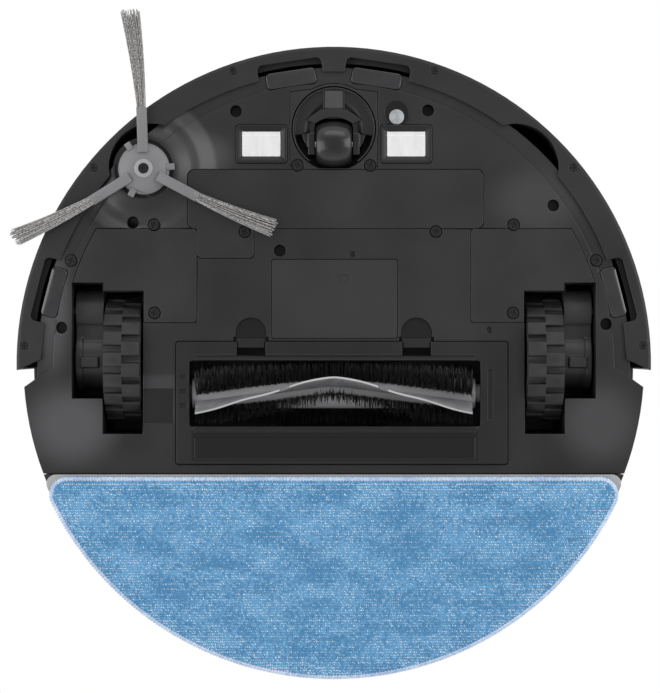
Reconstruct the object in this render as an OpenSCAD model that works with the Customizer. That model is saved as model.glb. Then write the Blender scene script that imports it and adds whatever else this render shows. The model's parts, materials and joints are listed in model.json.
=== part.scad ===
// Robot vacuum cleaner with a mop pad, as it stands on the floor.
// +Z is up and the floor is z = 0. The front, with the bumper, faces -Y.
// Modules are drawn about the body's own centre line, which stands axis_y behind the origin.

/* [Body] */
// Outer radius of the body at the bumper
body_r = 176.5; // [172:0.5:215]
// Height of the top deck above the floor
deck_h = 83; // [82:1:100]
// Height of the underside above the floor
floor_gap = 9; // [9:0.5:10]
// Thickness of the housing walls
shell_t = 2.5; // [2:0.1:3]
// Thickness of the underside
floor_t = 3.2; // [3:0.1:4]
// Thickness of the covers let into the underside
cover_t = 1.8; // [1.2:0.1:2]
// Height at which the lower and upper housings meet
split_h = 49; // [48.5:0.5:56]

/* [Bumper] */
// Width of the bumper's lip on the underside
lip_w = 14; // [13:0.5:15]
// Thickness of the lip
lip_t = 1.6; // [1.2:0.1:1.8]
// How far the bumper pushes in
bumper_travel = 3.5; // [2:0.1:4]
// Height of the sensor window in the bumper
window_h = 20; // [10:1:26]

/* [Drive wheels] */
// Diameter of the drive wheels over their tread
wheel_d = 70; // [60:1:71]
// Width of the drive wheels
wheel_w = 21; // [16:0.5:22]
// Distance of a wheel's middle from the body's outer edge
wheel_inset = 58.9; // [58:0.1:62]
// Number of tread blocks in one row
tread_blocks = 18; // [12:1:22]
// Depth of the tread
tread_depth = 2.2; // [1:0.1:3]
// Width of the gearbox arm
arm_w = 16; // [12:0.5:17]

/* [Castor] */
// Diameter of the castor wheel
castor_d = 26.4; // [22:0.2:28]
// Width of the castor wheel
castor_w = 20; // [14:0.5:21]
// Distance of the castor wheel's axle behind its swivel
castor_trail = 8.6; // [6:0.1:9]
// Inner radius of the castor's well
castor_well_r = 23.6; // [23.4:0.1:26]

/* [Brushes] */
// Diameter of the main brush over its bristles
brush_d = 37; // [32:0.5:37]
// Length of the main brush between its ends
brush_len = 158; // [120:1:158]
// Radius of the side brush over its bristles
side_reach = 84; // [60:1:84]
// Radius of the side brush hub
side_hub_r = 14.4; // [12:0.2:15.5]

/* [Mop] */
// Thickness of the mop pad
pad_t = 5; // [3:0.2:5]
// Thickness of the plate that holds the pad
plate_t = 3.8; // [2:0.2:3.8]
// How far the pad stands out behind the water tank
pad_proud = 1.6; // [0:0.2:3]

/* [Lidar turret] */
// Height of the turret above the deck
turret_h = 13.5; // [12:0.5:16]
// Radius of the turret
turret_r = 42; // [36:1:44]

/* [Fits] */
// Gap round a cover let into the underside
seam = 0.35; // [0.2:0.05:0.6]
// Radial clearance of a shaft that turns in a hole
run_fit = 0.05; // [0.02:0.01:0.09]
// Gap between pieces that move past each other
slip = 0.5; // [0.35:0.05:0.8]

/* [Hidden] */

$fn = 48;
axis_y = 8.8;            // the body's centre line stands this far behind the origin
big = 600;               // larger than the whole body, for cutting shapes
plastic = "#3b3b3d";
dark = "#232325";

// heights
under = floor_gap;                    // face of the underside
floor_top = floor_gap + floor_t;
cover_top = under + cover_t;
lip_z = under - 0.8;                  // the lip hangs a little lower than the underside
rim_z = lip_z + lip_t + 0.3;          // the rim that the lip slides under
deck_under = deck_h - shell_t;
bumper_top = deck_under - 1.5;

// radii
lip_r = body_r - lip_w;
rim_r = body_r - shell_t - bumper_travel - 5.5;
wall_r = rim_r - 1.5;                 // front wall of the housings, behind the bumper
seam_r = body_r - 20.5;               // edge of the main face of the underside
rear_r = body_r - 3.8;                // rear half of the housings
notch_x = seam_r + 1.3;               // inner corner of the notch behind the bumper's end
notch_y = 2.2;
notch_slope = 0.711;
bumper_end_y = 2;

// drive wheels
wheel_x = body_r - wheel_inset;
wheel_y = -2.5;
wheel_z = wheel_d / 2;
arm_x = wheel_x + wheel_w / 2 + 0.6;  // inner side of the gearbox arm
arm_pivot_y = -30;
arm_pivot_z = 30;
arm_top = 49;
pin_r = 3;
well_in = wheel_x - wheel_w / 2 - 0.8;
well_out = arm_x + arm_w + 1.1;
well_front = wheel_y - wheel_d / 2 - 2.6;
well_rear = wheel_y + wheel_d / 2 + 6.5;
gear_front = -44.6;
gear_rear = 19.3;
well_wall = 1.5;
well_roof = deck_under - 1.5;
spring_pocket = 5;                    // depth of the torsion spring's pocket in the arm

// castor
castor_y = -(body_r - 45.5);
castor_axle_y = castor_y + castor_trail;
castor_axle_z = castor_d / 2;
castor_disc_r = 18;
castor_roof = 34;
socket_x = 24.2;
socket_wall = 1.2;
battery_front = -108;
socket_rear = battery_front - seam;

// underside fittings, as [x, y]
contact_x = 40.3;
contact_y = -(body_r - 54.2);
bezel = [29, 21.8];
plate = [21.4, 14];
sensor = [35, -(body_r - 36.9)];
lens_r = 4.2;
lens_back = 2.1;                       // the lens sits towards the rear of its seat
side_hub = on_circle(body_r - 25.2, -134.2);
cliff_r = seam_r + 4.6;
cliff_angles = [-98.5, -81.5, -165.6, -14.4];
cliff_size = [28, 9.2];
recess_r = 24;
recess_at = [side_hub[0] + 4.4, side_hub[1] - 1.1];
cover_screws = [[100, -77.4], [146, -57.5], [99.7, -28.3]];
centre_screws = [[-20.2, -110.4], [20.2, -110.4], [-49.4, -73.6], [56.8, -73.6]];
screws = concat([for (s = [-1, 1], p = cover_screws) [s * p[0], p[1]]], centre_screws);
screw_head_r = 2.9;
screw_r = 1.4;
head_z = under + 0.5;
fixing_holes = [[-54.4, -140.6], [52.4, -141], [-111.7, -78.7], [122.1, -88.2], [-30, -63],
    [-151.4, -20.2], [151.4, -22.2]];
fixing_r = 3.3;
bumper_screw_angles = [-109, -71, -140.7, -39.3, -176.6, -3.4];
bumper_screw_r = body_r - 4.3;

switch_angle = 30;

// battery cover and wheel covers, as [x0, y0, x1, y1]
battery_box = [-81.2, battery_front, 83.3, -75.4];
battery_tab = [-76.1, -90, -44.4, -58.8];
cover_box = [76.3, -75.4 + seam, 146.9, -23.1];
label_box = [-34.5, -58, 35.3, -14.3];

// main brush
brush_y = 16.4;
brush_z = brush_d / 2 + 0.7;
brush_r = brush_d / 2;
core_r = 8.5;
shaft_r = 3;
peg_r = 5;
chamber = [-brush_len / 2 - 3.5, -9, brush_len / 2 + 5.5, 43];
chamber_roof = 46;
chamber_wall = 2;
chamber_top = chamber_roof + chamber_wall;
chamber_lip = [-3, 36];                // the underside's opening in Y, narrower than the chamber
guard_box = [-brush_len / 2 - 8.6, -12.3, brush_len / 2 + 17.5, 55.7];
guard_hole = [-brush_len / 2 - 1.3, -1.6, brush_len / 2 + 2.5, 34.6];
guard_t = 3;
guard_z = under + 1.6 - guard_t;
latch_x = 46;
latch_w = 15;
latch_y = -14;
latch_travel = 2.5;

// tank, bin, lid
bay_y = 61;
bay_wall = 2;
tank_top = split_h - slip;
tank_z = pad_t + plate_t + 0.3;
pad_r = rear_r + pad_proud;
fill_at = [70, 90];
fill_r = 7;
corner_r = 6.7;
bin_box = [-84, 68, 84, 140];
bin_wall_y = bin_box[1] - 2.5;         // front face of the wall before the bin
inlet_z = [split_h + 8, split_h + 24];
inlet_w = 60;
duct_wall = 1.5;
duct_foot = [-inlet_w / 2 - duct_wall, 29, inlet_w / 2 + duct_wall, 44];
lid_box = [-94, 59.9, 94, 152];
lid_r = body_r - 8;
lid_t = 2.2;
hinge_z = deck_h - 3.2;
hinge_y = lid_box[1] + 0.6;
hinge_x = 60;
barrel_r = 2.9;
hinge_pin_r = 1.5;

// deck
turret_y = 4;
button_y = -(body_r - 70);
button_r = 8;
button_gap = 14;
button_travel = 1.2;

// fan
fan_y = -43;
fan_r = 29;
fan_z = floor_top;
fan_h = 34;

function on_circle(r, a) = [r * cos(a), r * sin(a)];

module at_axis() {
    translate([0, axis_y, 0]) children();
}

module slab(z0, z1) {
    translate([0, 0, z0]) linear_extrude(z1 - z0) children();
}

// Rectangle with round corners, from its corner points [x0, y0, x1, y1]
module rounded(b, r, grow = 0) {
    x0 = b[0] - grow;
    y0 = b[1] - grow;
    x1 = b[2] + grow;
    y1 = b[3] + grow;
    translate([x0 + r, y0]) square([x1 - x0 - 2 * r, y1 - y0]);
    translate([x0, y0 + r]) square([x1 - x0, y1 - y0 - 2 * r]);
    for (x = [x0 + r, x1 - r], y = [y0 + r, y1 - r])
        translate([x, y]) circle(r);
}

module plain_box(b, grow = 0) {
    translate([b[0] - grow, b[1] - grow])
        square([b[2] - b[0] + 2 * grow, b[3] - b[1] + 2 * grow]);
}

// The half plane behind y (side = 1) or in front of it (side = -1)
module half(y, side) {
    translate([-big / 2, side > 0 ? y : y - big]) square([big, big]);
}

// Cylinder along X from x0 to x1
module rod_x(r, x0, x1, y, z) {
    translate([x0, y, z]) rotate([0, 90, 0]) cylinder(r = r, h = x1 - x0);
}

// ---- housings ----

module rear_2d(inset = 0) {
    far = notch_x + 60;
    y1 = notch_y + inset;
    y2 = y1 + 60 * notch_slope;
    intersection() {
        circle(rear_r - inset, $fn = 96);
        polygon([[-far, y2], [-notch_x, y1], [notch_x, y1], [far, y2], [far, big], [-far, big]]);
    }
}

module housing_2d(inset = 0) {
    circle(wall_r - inset, $fn = 96);
    rear_2d(inset);
}

// Both halves of a wheel well: the wheel's part and the gearbox's part
module well_2d(side, grow = 0) {
    mirror([side > 0 ? 0 : 1, 0]) {
        plain_box([well_in, well_front, arm_x, well_rear], grow);
        plain_box([arm_x - 0.01, gear_front, well_out, gear_rear], grow);
    }
}

module cover_2d(side, grow = 0) {
    mirror([side > 0 ? 0 : 1, 0])
        difference() {
            intersection() {
                rounded(cover_box, 2, grow);
                circle(seam_r - 4 + grow, $fn = 96);
            }
            plain_box([well_in, well_front, arm_x, well_rear], 0.6 - grow);
            plain_box([arm_x, gear_front, well_out + 20, gear_rear], 0.6 - grow);
        }
}

module battery_2d(grow = 0) {
    rounded(battery_box, 4, grow);
    rounded(battery_tab, 3, grow);
}

module socket_2d(grow = 0) {
    intersection() {
        circle(seam_r - 3 + grow, $fn = 96);
        translate([-socket_x - grow, -seam_r])
            square([2 * (socket_x + grow), seam_r + socket_rear + grow]);
    }
}

module cliff_place() {
    for (a = cliff_angles)
        rotate([0, 0, a + 90]) translate([0, -cliff_r]) children();
}

module screw_holes() {
    for (p = screws) translate(p) {
        translate([0, 0, under - 3]) cylinder(r = screw_head_r + 0.7, h = 3 + 1.9);
        translate([0, 0, under]) cylinder(r = screw_r, h = 11);
    }
}

module base_shell() {
    // underside and its stepped rim
    slab(under, floor_top) intersection() {
        union() {
            circle(seam_r, $fn = 96);
            rear_2d();
        }
        half(bay_y, -1);
    }
    slab(rim_z, floor_top) intersection() {
        circle(rim_r, $fn = 96);
        half(notch_y + 5.5, -1);
    }
    // side wall and the wall of the tank's bay
    slab(floor_top - 0.01, split_h) intersection() {
        union() {
            difference() {
                housing_2d();
                housing_2d(shell_t);
            }
            intersection() {
                housing_2d();
                translate([-big / 2, bay_y - bay_wall]) square([big, bay_wall]);
            }
        }
        half(bay_y, -1);
    }
}

module base_housing() color(plastic) at_axis() difference() {
    union() {
        base_shell();
        for (p = screws) translate([p[0], p[1], floor_top - 0.01]) cylinder(r = 4, h = 8);
        for (p = fixing_holes) translate([p[0], p[1], floor_top - 0.01]) cylinder(r = 4.6, h = 12);
        translate([side_hub[0], side_hub[1], floor_top - 0.01]) cylinder(r = 18, h = 3);
        // posts for the circuit board
        for (x = [-62, 62], y = [-112, -70]) translate([x, y, floor_top - 0.01]) cylinder(r = 3, h = 52 - floor_top);
        // latch boxes
        for (s = [-1, 1]) translate([s * latch_x - 11, -28, floor_top - 0.01]) cube([22, 16, 2.5]);
    }
    // openings of the wells and the brush chamber, and room for the wells' walls
    for (s = [-1, 1]) {
        slab(under - 1, floor_top + 1) well_2d(s);
        slab(floor_top, well_roof) well_2d(s, well_wall + 0.05);
    }
    slab(under - 1, floor_top + 1) plain_box([chamber[0], chamber_lip[0], chamber[2], chamber_lip[1]]);
    // pockets for the covers, with openings behind them
    slab(under - 1, cover_top) {
        for (s = [-1, 1]) cover_2d(s, seam);
        battery_2d(seam);
        socket_2d(seam);
        rounded(label_box, 1.5, seam);
    }
    slab(under - 1, floor_top + 1) plain_box([-72.5, battery_front + 4, 74.5, -79]);
    slab(under - 1, split_h) translate([0, castor_y]) circle(castor_well_r + socket_wall + seam);
    slab(under - 1, under + 1.6) rounded(guard_box, 1.5, seam);
    // side brush: dished surround and the neck's hole
    translate([side_hub[0], side_hub[1], under - 1]) cylinder(r = side_hub_r + 1.8, h = 3.4);
    translate([side_hub[0], side_hub[1], under]) cylinder(r = 6.6, h = 20);
    // seats of the contacts, the sensor and the windows
    for (s = [-1, 1]) translate([s * contact_x, contact_y, under - 1])
        linear_extrude(20) rounded([-bezel[0] / 2, -bezel[1] / 2, bezel[0] / 2, bezel[1] / 2], 2);
    translate([sensor[0], sensor[1], under - 1]) cylinder(r = 6.7, h = 2.6);
    translate([sensor[0], sensor[1] + lens_back, under]) cylinder(r = lens_r, h = 10);
    slab(under - 1, floor_top + 1) cliff_place()
        rounded([-cliff_size[0] / 2, -cliff_size[1] / 2, cliff_size[0] / 2, cliff_size[1] / 2], 2.5);
    // thumb recesses of the latches, and the tabs' slots
    for (s = [-1, 1]) {
        slab(under - 1, under + 2.4) translate([s * latch_x, -17.1]) {
            circle(8.65);
            translate([-8.65, 0]) square([17.3, 10]);
        }
        slab(under - 1, under + 4) translate([s * latch_x - 9.8, latch_y - 1]) square([19.6, 9.5 + latch_travel]);
    }
    screw_holes();
    for (p = fixing_holes) translate([p[0], p[1], under - 1]) cylinder(r = fixing_r, h = 11);
    for (p = [[10.5, -60.9], [86.5, -18.9]]) translate([p[0], p[1], under - 1]) cylinder(r = 1.7, h = 3);
    // room for the brush's drive peg
    rod_x(peg_r + slip, chamber[2] - 1, chamber[2] + 9, brush_y, brush_z);
    // shallow strip beside the brush guard
    slab(under - 1, under + 0.8) plain_box([-106, 6, -89, 33]);
}

module left_wheel_well() color(plastic) at_axis() wheel_well(-1);
module right_wheel_well() color(plastic) at_axis() wheel_well(1);

// Hood over a wheel and its gearbox, with the hole that holds the arm pin
module wheel_well(side) difference() {
    slab(floor_top, well_roof + well_wall) well_2d(side, well_wall);
    slab(floor_top - 1, well_roof) well_2d(side);
    mirror([side > 0 ? 0 : 1, 0, 0])
        rod_x(pin_r, arm_x - 4, well_out + well_wall + 1, arm_pivot_y, arm_pivot_z);
}

// Hood over the main brush, with the drive peg's hole and the way out to the duct
module brush_housing() color(plastic) at_axis() difference() {
    slab(floor_top, chamber_top) plain_box(chamber, chamber_wall);
    slab(floor_top - 1, chamber_roof) plain_box(chamber);
    rod_x(peg_r + slip, chamber[2] - 1, chamber[2] + 4, brush_y, brush_z);
    slab(chamber_roof - 1, chamber_top + 1) plain_box(duct_foot, -duct_wall);
}

// Elbow that leads from the brush housing up and back to the dust bin's inlet
module air_duct() color(dark) at_axis() difference() {
    duct_elbow(0);
    duct_elbow(duct_wall);
}

module duct_elbow(inset) {
    open = inset > 0 ? 1 : 0;
    slab(chamber_top - open, inlet_z[1] + duct_wall - inset) plain_box(duct_foot, -inset);
    slab(inlet_z[0] - duct_wall + inset, inlet_z[1] + duct_wall - inset)
        plain_box([duct_foot[0] + inset, duct_foot[1] + inset, duct_foot[2] - inset, bin_wall_y + open]);
}

module lid_2d(grow = 0) {
    intersection() {
        rounded(lid_box, 7.5, grow);
        circle(lid_r + grow, $fn = 96);
    }
}

module top_shell() difference() {
    union() {
        slab(split_h, deck_under + 0.01) difference() {
            housing_2d();
            housing_2d(shell_t);
        }
        slab(deck_under, deck_h) circle(body_r - 0.5, $fn = 96);
        // ledge under the lid, shelf over the tank's bay, and the front wall of the bin's well
        slab(deck_under - 2, deck_under + 0.01) lid_2d(0);
        slab(split_h, split_h + 1.5) intersection() {
            housing_2d(1);
            half(bay_y - bay_wall, 1);
        }
        slab(split_h, deck_under + 0.01) translate([bin_box[0] - 4, bin_wall_y])
            square([bin_box[2] - bin_box[0] + 8, 1.5]);
    }
    // opening over the dust bin, seat of the lid, and the groove in which its front edge turns
    slab(deck_under - 3, deck_h + 1) rounded(bin_box, 5, 1);
    slab(deck_h - lid_t - 0.3, deck_h + 1) lid_2d(slip);
    slab(hinge_z - barrel_r - 0.5, deck_h + 1)
        plain_box([lid_box[0] - slip, hinge_y - 3.7, lid_box[2] + slip, hinge_y + barrel_r + 0.5]);
    // buttons and the turret's cable hole
    for (s = [-1, 1]) translate([s * button_gap, button_y, deck_under - 1]) cylinder(r = button_r + slip, h = 5);
    translate([0, turret_y, deck_under - 1]) cylinder(r = 12, h = 5);
    // way through from the duct to the bin
    slab(inlet_z[0], inlet_z[1]) translate([-inlet_w / 2, bin_wall_y - 1]) square([inlet_w, 4]);
    // exhaust slots in the rear wall
    for (i = [-7:7]) rotate([0, 0, i * 3.2]) translate([-2, rear_r - 6, 58]) cube([4, 12, 14]);
}

module top_housing() color(plastic) at_axis() {
    top_shell();
    // ears with the lid's hinge pins
    for (s = [-1, 1]) {
        translate([s * hinge_x - 4, hinge_y - 6, hinge_z - barrel_r - 2])
            cube([8, 8.2, 2 * barrel_r + 1.6]);
        rod_x(hinge_pin_r, s * hinge_x - 12, s * hinge_x + 12, hinge_y, hinge_z);
    }
}

// ---- bumper ----

module bumper_2d(r0, r1) {
    difference() {
        circle(r1, $fn = 96);
        circle(r0, $fn = 96);
        polygon([[-big, bumper_end_y], [-body_r - 1, bumper_end_y + 2], [-lip_r, bumper_end_y - 4.6],
            [lip_r, bumper_end_y - 4.6], [body_r + 1, bumper_end_y + 2], [big, bumper_end_y],
            [big, big], [-big, big]]);
    }
}

module bumper_screw_places() {
    for (a = bumper_screw_angles) translate(on_circle(bumper_screw_r, a)) children();
}

module bumper() color(plastic) at_axis() difference() {
    union() {
        slab(lip_z, lip_z + lip_t) bumper_2d(lip_r, body_r - 1.2);
        slab(lip_z + 0.7, bumper_top) bumper_2d(body_r - shell_t, body_r);
        slab(bumper_top - 2, bumper_top) bumper_2d(body_r - 7, body_r);
        intersection() {
            union() {
                translate([0, 0, lip_z]) bumper_screw_places() cylinder(r = 2.8, h = 12);
                // inner wall round the recesses in the lip
                for (s = [-1, 1]) translate([-s * recess_at[0], recess_at[1], lip_z])
                    cylinder(r = recess_r + 1.2, h = 13);
            }
            slab(lip_z, 40) bumper_2d(body_r - 7.4, body_r - 0.5);
        }
    }
    // recesses beside the side brush and across from it
    for (s = [-1, 1]) translate([-s * recess_at[0], recess_at[1], lip_z - 1]) cylinder(r = recess_r, h = 16);
    // notches beside the cliff windows
    slab(lip_z - 1, lip_z + lip_t + 0.01) for (a = cliff_angles)
        rotate([0, 0, a + 90]) translate([0, -(lip_r + 3.5)]) rounded([-18, -4, 18, 8], 3);
    // screws
    translate([0, 0, lip_z - 0.01]) bumper_screw_places() cylinder(r = 2.2, h = 1.2);
    translate([0, 0, lip_z - 0.01]) bumper_screw_places() cylinder(r = 1, h = 8);
    // seat of the sensor window
    slab(40 - 0.2, 40 + window_h + 0.2) difference() {
        bumper_2d(body_r - 1, body_r + 1);
        half(-60, 1);
    }
}

module bumper_window() color("#101012") at_axis() slab(40, 40 + window_h) difference() {
    circle(body_r - 0.1, $fn = 96);
    circle(body_r - 1, $fn = 96);
    half(-60.2, 1);
}

module bumper_screws() color("#5a5a5c") at_axis() bumper_screw_places() difference() {
    union() {
        translate([0, 0, lip_z + 0.1]) cylinder(r = 2.1, h = 1.09);
        translate([0, 0, lip_z + 0.2]) cylinder(r = 1, h = 7);
    }
    for (a = [0, 90]) rotate([0, 0, a]) translate([-1.4, -0.35, lip_z - 1]) cube([2.8, 0.7, 1.8]);
}

// Two small switches that the bumper presses
module bumper_switches() color("#1d1d1f") at_axis() for (s = [-1, 1])
    rotate([0, 0, s * switch_angle]) translate([-6, -wall_r + shell_t + 0.4, floor_top]) cube([12, 7, 9]);

// ---- underside covers and fittings ----

module left_wheel_cover() color(plastic) at_axis() wheel_cover(-1);
module right_wheel_cover() color(plastic) at_axis() wheel_cover(1);

module wheel_cover(side) {
    difference() {
        slab(under, cover_top) cover_2d(side);
        screw_holes();
        for (p = fixing_holes) translate([p[0], p[1], under - 1]) cylinder(r = fixing_r + 0.4, h = 11);
    }
}

module battery_cover() color(plastic) at_axis() difference() {
    slab(under, cover_top) battery_2d();
    screw_holes();
}

module battery_pack() color("#2f5f9e") at_axis()
    slab(cover_top, 34) plain_box([-71.5, battery_front + 5, 73.5, -80]);

module rating_label() color("#2d2d2f") at_axis() difference() {
    slab(under, cover_top) rounded(label_box, 1.5);
    translate([5.6, -47, under - 1]) cylinder(r = 3, h = 1.4);
}

module castor_socket() color(plastic) at_axis() difference() {
    union() {
        slab(under, cover_top) socket_2d();
        slab(under, castor_roof + 3) intersection() {
            translate([0, castor_y]) circle(castor_well_r + socket_wall);
            half(socket_rear, -1);
        }
    }
    slab(under - 1, castor_roof) intersection() {
        translate([0, castor_y]) circle(castor_well_r);
        half(socket_rear - 0.5, -1);
    }
    translate([0, castor_y, castor_roof - 1]) cylinder(r = 4 + run_fit, h = 6);
    screw_holes();
}

module castor_fork() color("#2a2a2c") at_axis() difference() {
    union() {
        translate([0, castor_y, under + 2]) cylinder(r = castor_disc_r, h = castor_roof - under - 2 - slip);
        translate([0, castor_y, castor_roof - 1]) cylinder(r = 4, h = 6);
        for (s = [-1, 1]) translate([s * (castor_w / 2 + 2.4) - 1.9, castor_axle_y - 6, under - 1])
            cube([3.8, 12, 18]);
    }
    // slot for the wheel
    rod_x(castor_d / 2 + 0.9, -castor_w / 2 - slip, castor_w / 2 + slip, castor_axle_y, castor_axle_z);
    translate([-castor_w / 2 - slip, castor_axle_y - castor_d / 2 - 0.9, 0])
        cube([castor_w + 2 * slip, castor_d + 1.8, castor_axle_z]);
    rod_x(2, -big / 4, big / 4, castor_axle_y, castor_axle_z);
}

module castor_axle() color("#b9bbbe") at_axis()
    rod_x(2, -castor_w / 2 - 4.3, castor_w / 2 + 4.3, castor_axle_y, castor_axle_z);

// Barrel wheel, crowned towards its middle
module castor_wheel() color(dark) at_axis() translate([0, castor_axle_y, castor_axle_z]) rotate([0, 90, 0])
    difference() {
        rotate_extrude($fn = 64) polygon([[1, -castor_w / 2], [castor_d / 2 - 2.8, -castor_w / 2],
            [castor_d / 2 - 0.8, -castor_w / 4], [castor_d / 2, -2.5], [castor_d / 2, 2.5],
            [castor_d / 2 - 0.8, castor_w / 4], [castor_d / 2 - 2.8, castor_w / 2], [1, castor_w / 2]]);
        cylinder(r = 2 + run_fit, h = castor_w + 2, center = true);
    }

module left_contact_bezel() color(dark) at_axis() contact_bezel(-1);
module right_contact_bezel() color(dark) at_axis() contact_bezel(1);

module contact_bezel(side) {
    w = bezel[0] / 2 - 0.1;
    d = bezel[1] / 2 - 0.1;
    translate([side * contact_x, contact_y, 0]) difference() {
        union() {
            slab(under - 0.6, floor_top) rounded([-w, -d, w, d], 2);
            slab(floor_top - 0.01, floor_top + 3) plain_box([-w + 2, -d + 2, w - 2, d - 2]);
        }
        slab(under - 1, under + 0.8) rounded([-plate[0] / 2, -plate[1] / 2, plate[0] / 2, plate[1] / 2], 0.8);
    }
}

module left_charge_contact() color("#d9dadd") at_axis() charge_contact(-1);
module right_charge_contact() color("#d9dadd") at_axis() charge_contact(1);

// Spring plate with a shallow fold along its front edge
module charge_contact(side) {
    w = plate[0] / 2 - 0.1;
    d = plate[1] / 2 - 0.1;
    translate([side * contact_x, contact_y, 0]) {
        slab(under - 0.1, under + 0.8) rounded([-w, -d + 2, w, d], 0.7);
        slab(under + 0.2, under + 0.8) plain_box([-w, -d, w, -d + 2.7]);
    }
}

module cliff_windows() color("#0d0d10") at_axis() slab(under + 0.3, floor_top) cliff_place()
    rounded([-cliff_size[0] / 2 + 0.2, -cliff_size[1] / 2 + 0.2, cliff_size[0] / 2 - 0.2, cliff_size[1] / 2 - 0.2], 2.3);

module floor_sensor_lens() color("#b9bcc0") at_axis()
    translate([sensor[0], sensor[1] + lens_back, under + 0.6]) cylinder(r = lens_r, h = 5);

module housing_screws() color("#4c4c50") at_axis() for (p = screws) translate(p) difference() {
    union() {
        translate([0, 0, head_z]) cylinder(r = screw_head_r, h = under + 1.9 - head_z);
        translate([0, 0, head_z + 0.2]) cylinder(r = screw_r, h = 9);
    }
    for (a = [20, 110]) rotate([0, 0, a]) translate([-1.8, -0.45, under - 1]) cube([3.6, 0.9, 2.3]);
}

// ---- drive wheels ----

module to_side(side) {
    mirror([side > 0 ? 0 : 1, 0, 0]) children();
}

module gearbox_arm() {
    difference() {
        union() {
            rod_x(12, arm_x, arm_x + arm_w, arm_pivot_y, arm_pivot_z);
            rod_x(17, arm_x, arm_x + arm_w, wheel_y, wheel_z);
            translate([arm_x, arm_pivot_y, 22]) cube([arm_w, wheel_y - arm_pivot_y, arm_top - 22]);
            // raised rim and rib on the outside
            rod_x(18, arm_x + arm_w - 4, arm_x + arm_w, wheel_y, wheel_z);
            translate([arm_x + 3, wheel_y - 1.5, wheel_z - 18.5]) cube([arm_w - 6, 6, 8]);
        }
        rod_x(pin_r + run_fit, arm_x - 1, arm_x + arm_w + 1, arm_pivot_y, arm_pivot_z);
        rod_x(pin_r + 3, arm_x + arm_w - spring_pocket, arm_x + arm_w + 1, arm_pivot_y, arm_pivot_z);
        rod_x(shaft_r + run_fit, arm_x - 1, arm_x + 9, wheel_y, wheel_z);
    }
}

module arm_pin() {
    rod_x(pin_r, arm_x - 0.2, well_out + well_wall, arm_pivot_y, arm_pivot_z);
}

module drive_motor() {
    translate([arm_x + arm_w / 2, arm_pivot_y - 7, arm_top + 7]) rotate([-90, 0, 0]) cylinder(r = 7, h = 21);
    translate([arm_x + 2, arm_pivot_y + 2, arm_top - 0.01]) cube([arm_w - 4, 10, 4]);
}

module wheel_hub() {
    difference() {
        union() {
            rod_x(wheel_d / 2 - 7, wheel_x - wheel_w / 2 + 1.5, wheel_x - wheel_w / 2 + 4, wheel_y, wheel_z);
            difference() {
                rod_x(wheel_d / 2 - 5, wheel_x - wheel_w / 2 + 1.5, wheel_x + wheel_w / 2 - 0.5, wheel_y, wheel_z);
                rod_x(wheel_d / 2 - 7.5, wheel_x - wheel_w / 2, wheel_x + wheel_w / 2, wheel_y, wheel_z);
            }
            rod_x(7, wheel_x - wheel_w / 2 + 1.5, wheel_x + wheel_w / 2 - 0.5, wheel_y, wheel_z);
            rod_x(shaft_r, wheel_x, arm_x + 8.5, wheel_y, wheel_z);
            for (a = [0:60:300]) translate([wheel_x - wheel_w / 2 + 2, wheel_y, wheel_z]) rotate([a, 0, 0])
                translate([0, -1.2, 5]) cube([wheel_w - 5, 2.4, wheel_d / 2 - 11.5]);
        }
    }
}

// Rubber tyre with two staggered rows of blocks
module tyre() {
    translate([wheel_x, wheel_y, wheel_z]) rotate([0, 90, 0]) difference() {
        union() {
            cylinder(r = wheel_d / 2 - tread_depth, h = wheel_w, center = true, $fn = 72);
            intersection() {
                cylinder(r = wheel_d / 2, h = wheel_w - 1, center = true, $fn = 72);
                for (row = [0, 1], i = [0:tread_blocks - 1])
                    rotate([0, 0, (i + row / 2) * 360 / tread_blocks])
                        translate([wheel_d / 2 - tread_depth - 2, -wheel_d * 0.055, row == 0 ? 0 : -wheel_w / 2 + 0.5])
                            cube([tread_depth + 4, wheel_d * 0.11, wheel_w / 2 - 0.5]);
            }
        }
        cylinder(r = wheel_d / 2 - 5, h = wheel_w + 2, center = true);
    }
}

// Torsion spring round the pin, in the arm's pocket
module suspension_spring() {
    x1 = arm_x + arm_w;
    difference() {
        rod_x(pin_r + 2.5, x1 - spring_pocket + slip, x1, arm_pivot_y, arm_pivot_z);
        rod_x(pin_r + 0.5, x1 - spring_pocket, x1 + 1, arm_pivot_y, arm_pivot_z);
    }
}

module left_arm() color("#333335") at_axis() to_side(-1) gearbox_arm();
module right_arm() color("#333335") at_axis() to_side(1) gearbox_arm();
module left_arm_pin() color("#b9bbbe") at_axis() to_side(-1) arm_pin();
module right_arm_pin() color("#b9bbbe") at_axis() to_side(1) arm_pin();
module left_drive_motor() color("#8f9297") at_axis() to_side(-1) drive_motor();
module right_drive_motor() color("#8f9297") at_axis() to_side(1) drive_motor();
module left_wheel_hub() color("#2b2b2d") at_axis() to_side(-1) wheel_hub();
module right_wheel_hub() color("#2b2b2d") at_axis() to_side(1) wheel_hub();
module left_tyre() color("#39393b") at_axis() to_side(-1) tyre();
module right_tyre() color("#39393b") at_axis() to_side(1) tyre();
module suspension_springs() color("#a8abb0") at_axis() for (s = [-1, 1]) to_side(s) suspension_spring();

// ---- side brush ----

side_arms = [28, 148, -92];
stem_z = 3.4;

module side_brush_place() {
    translate([side_hub[0], side_hub[1], 0]) children();
}

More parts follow.
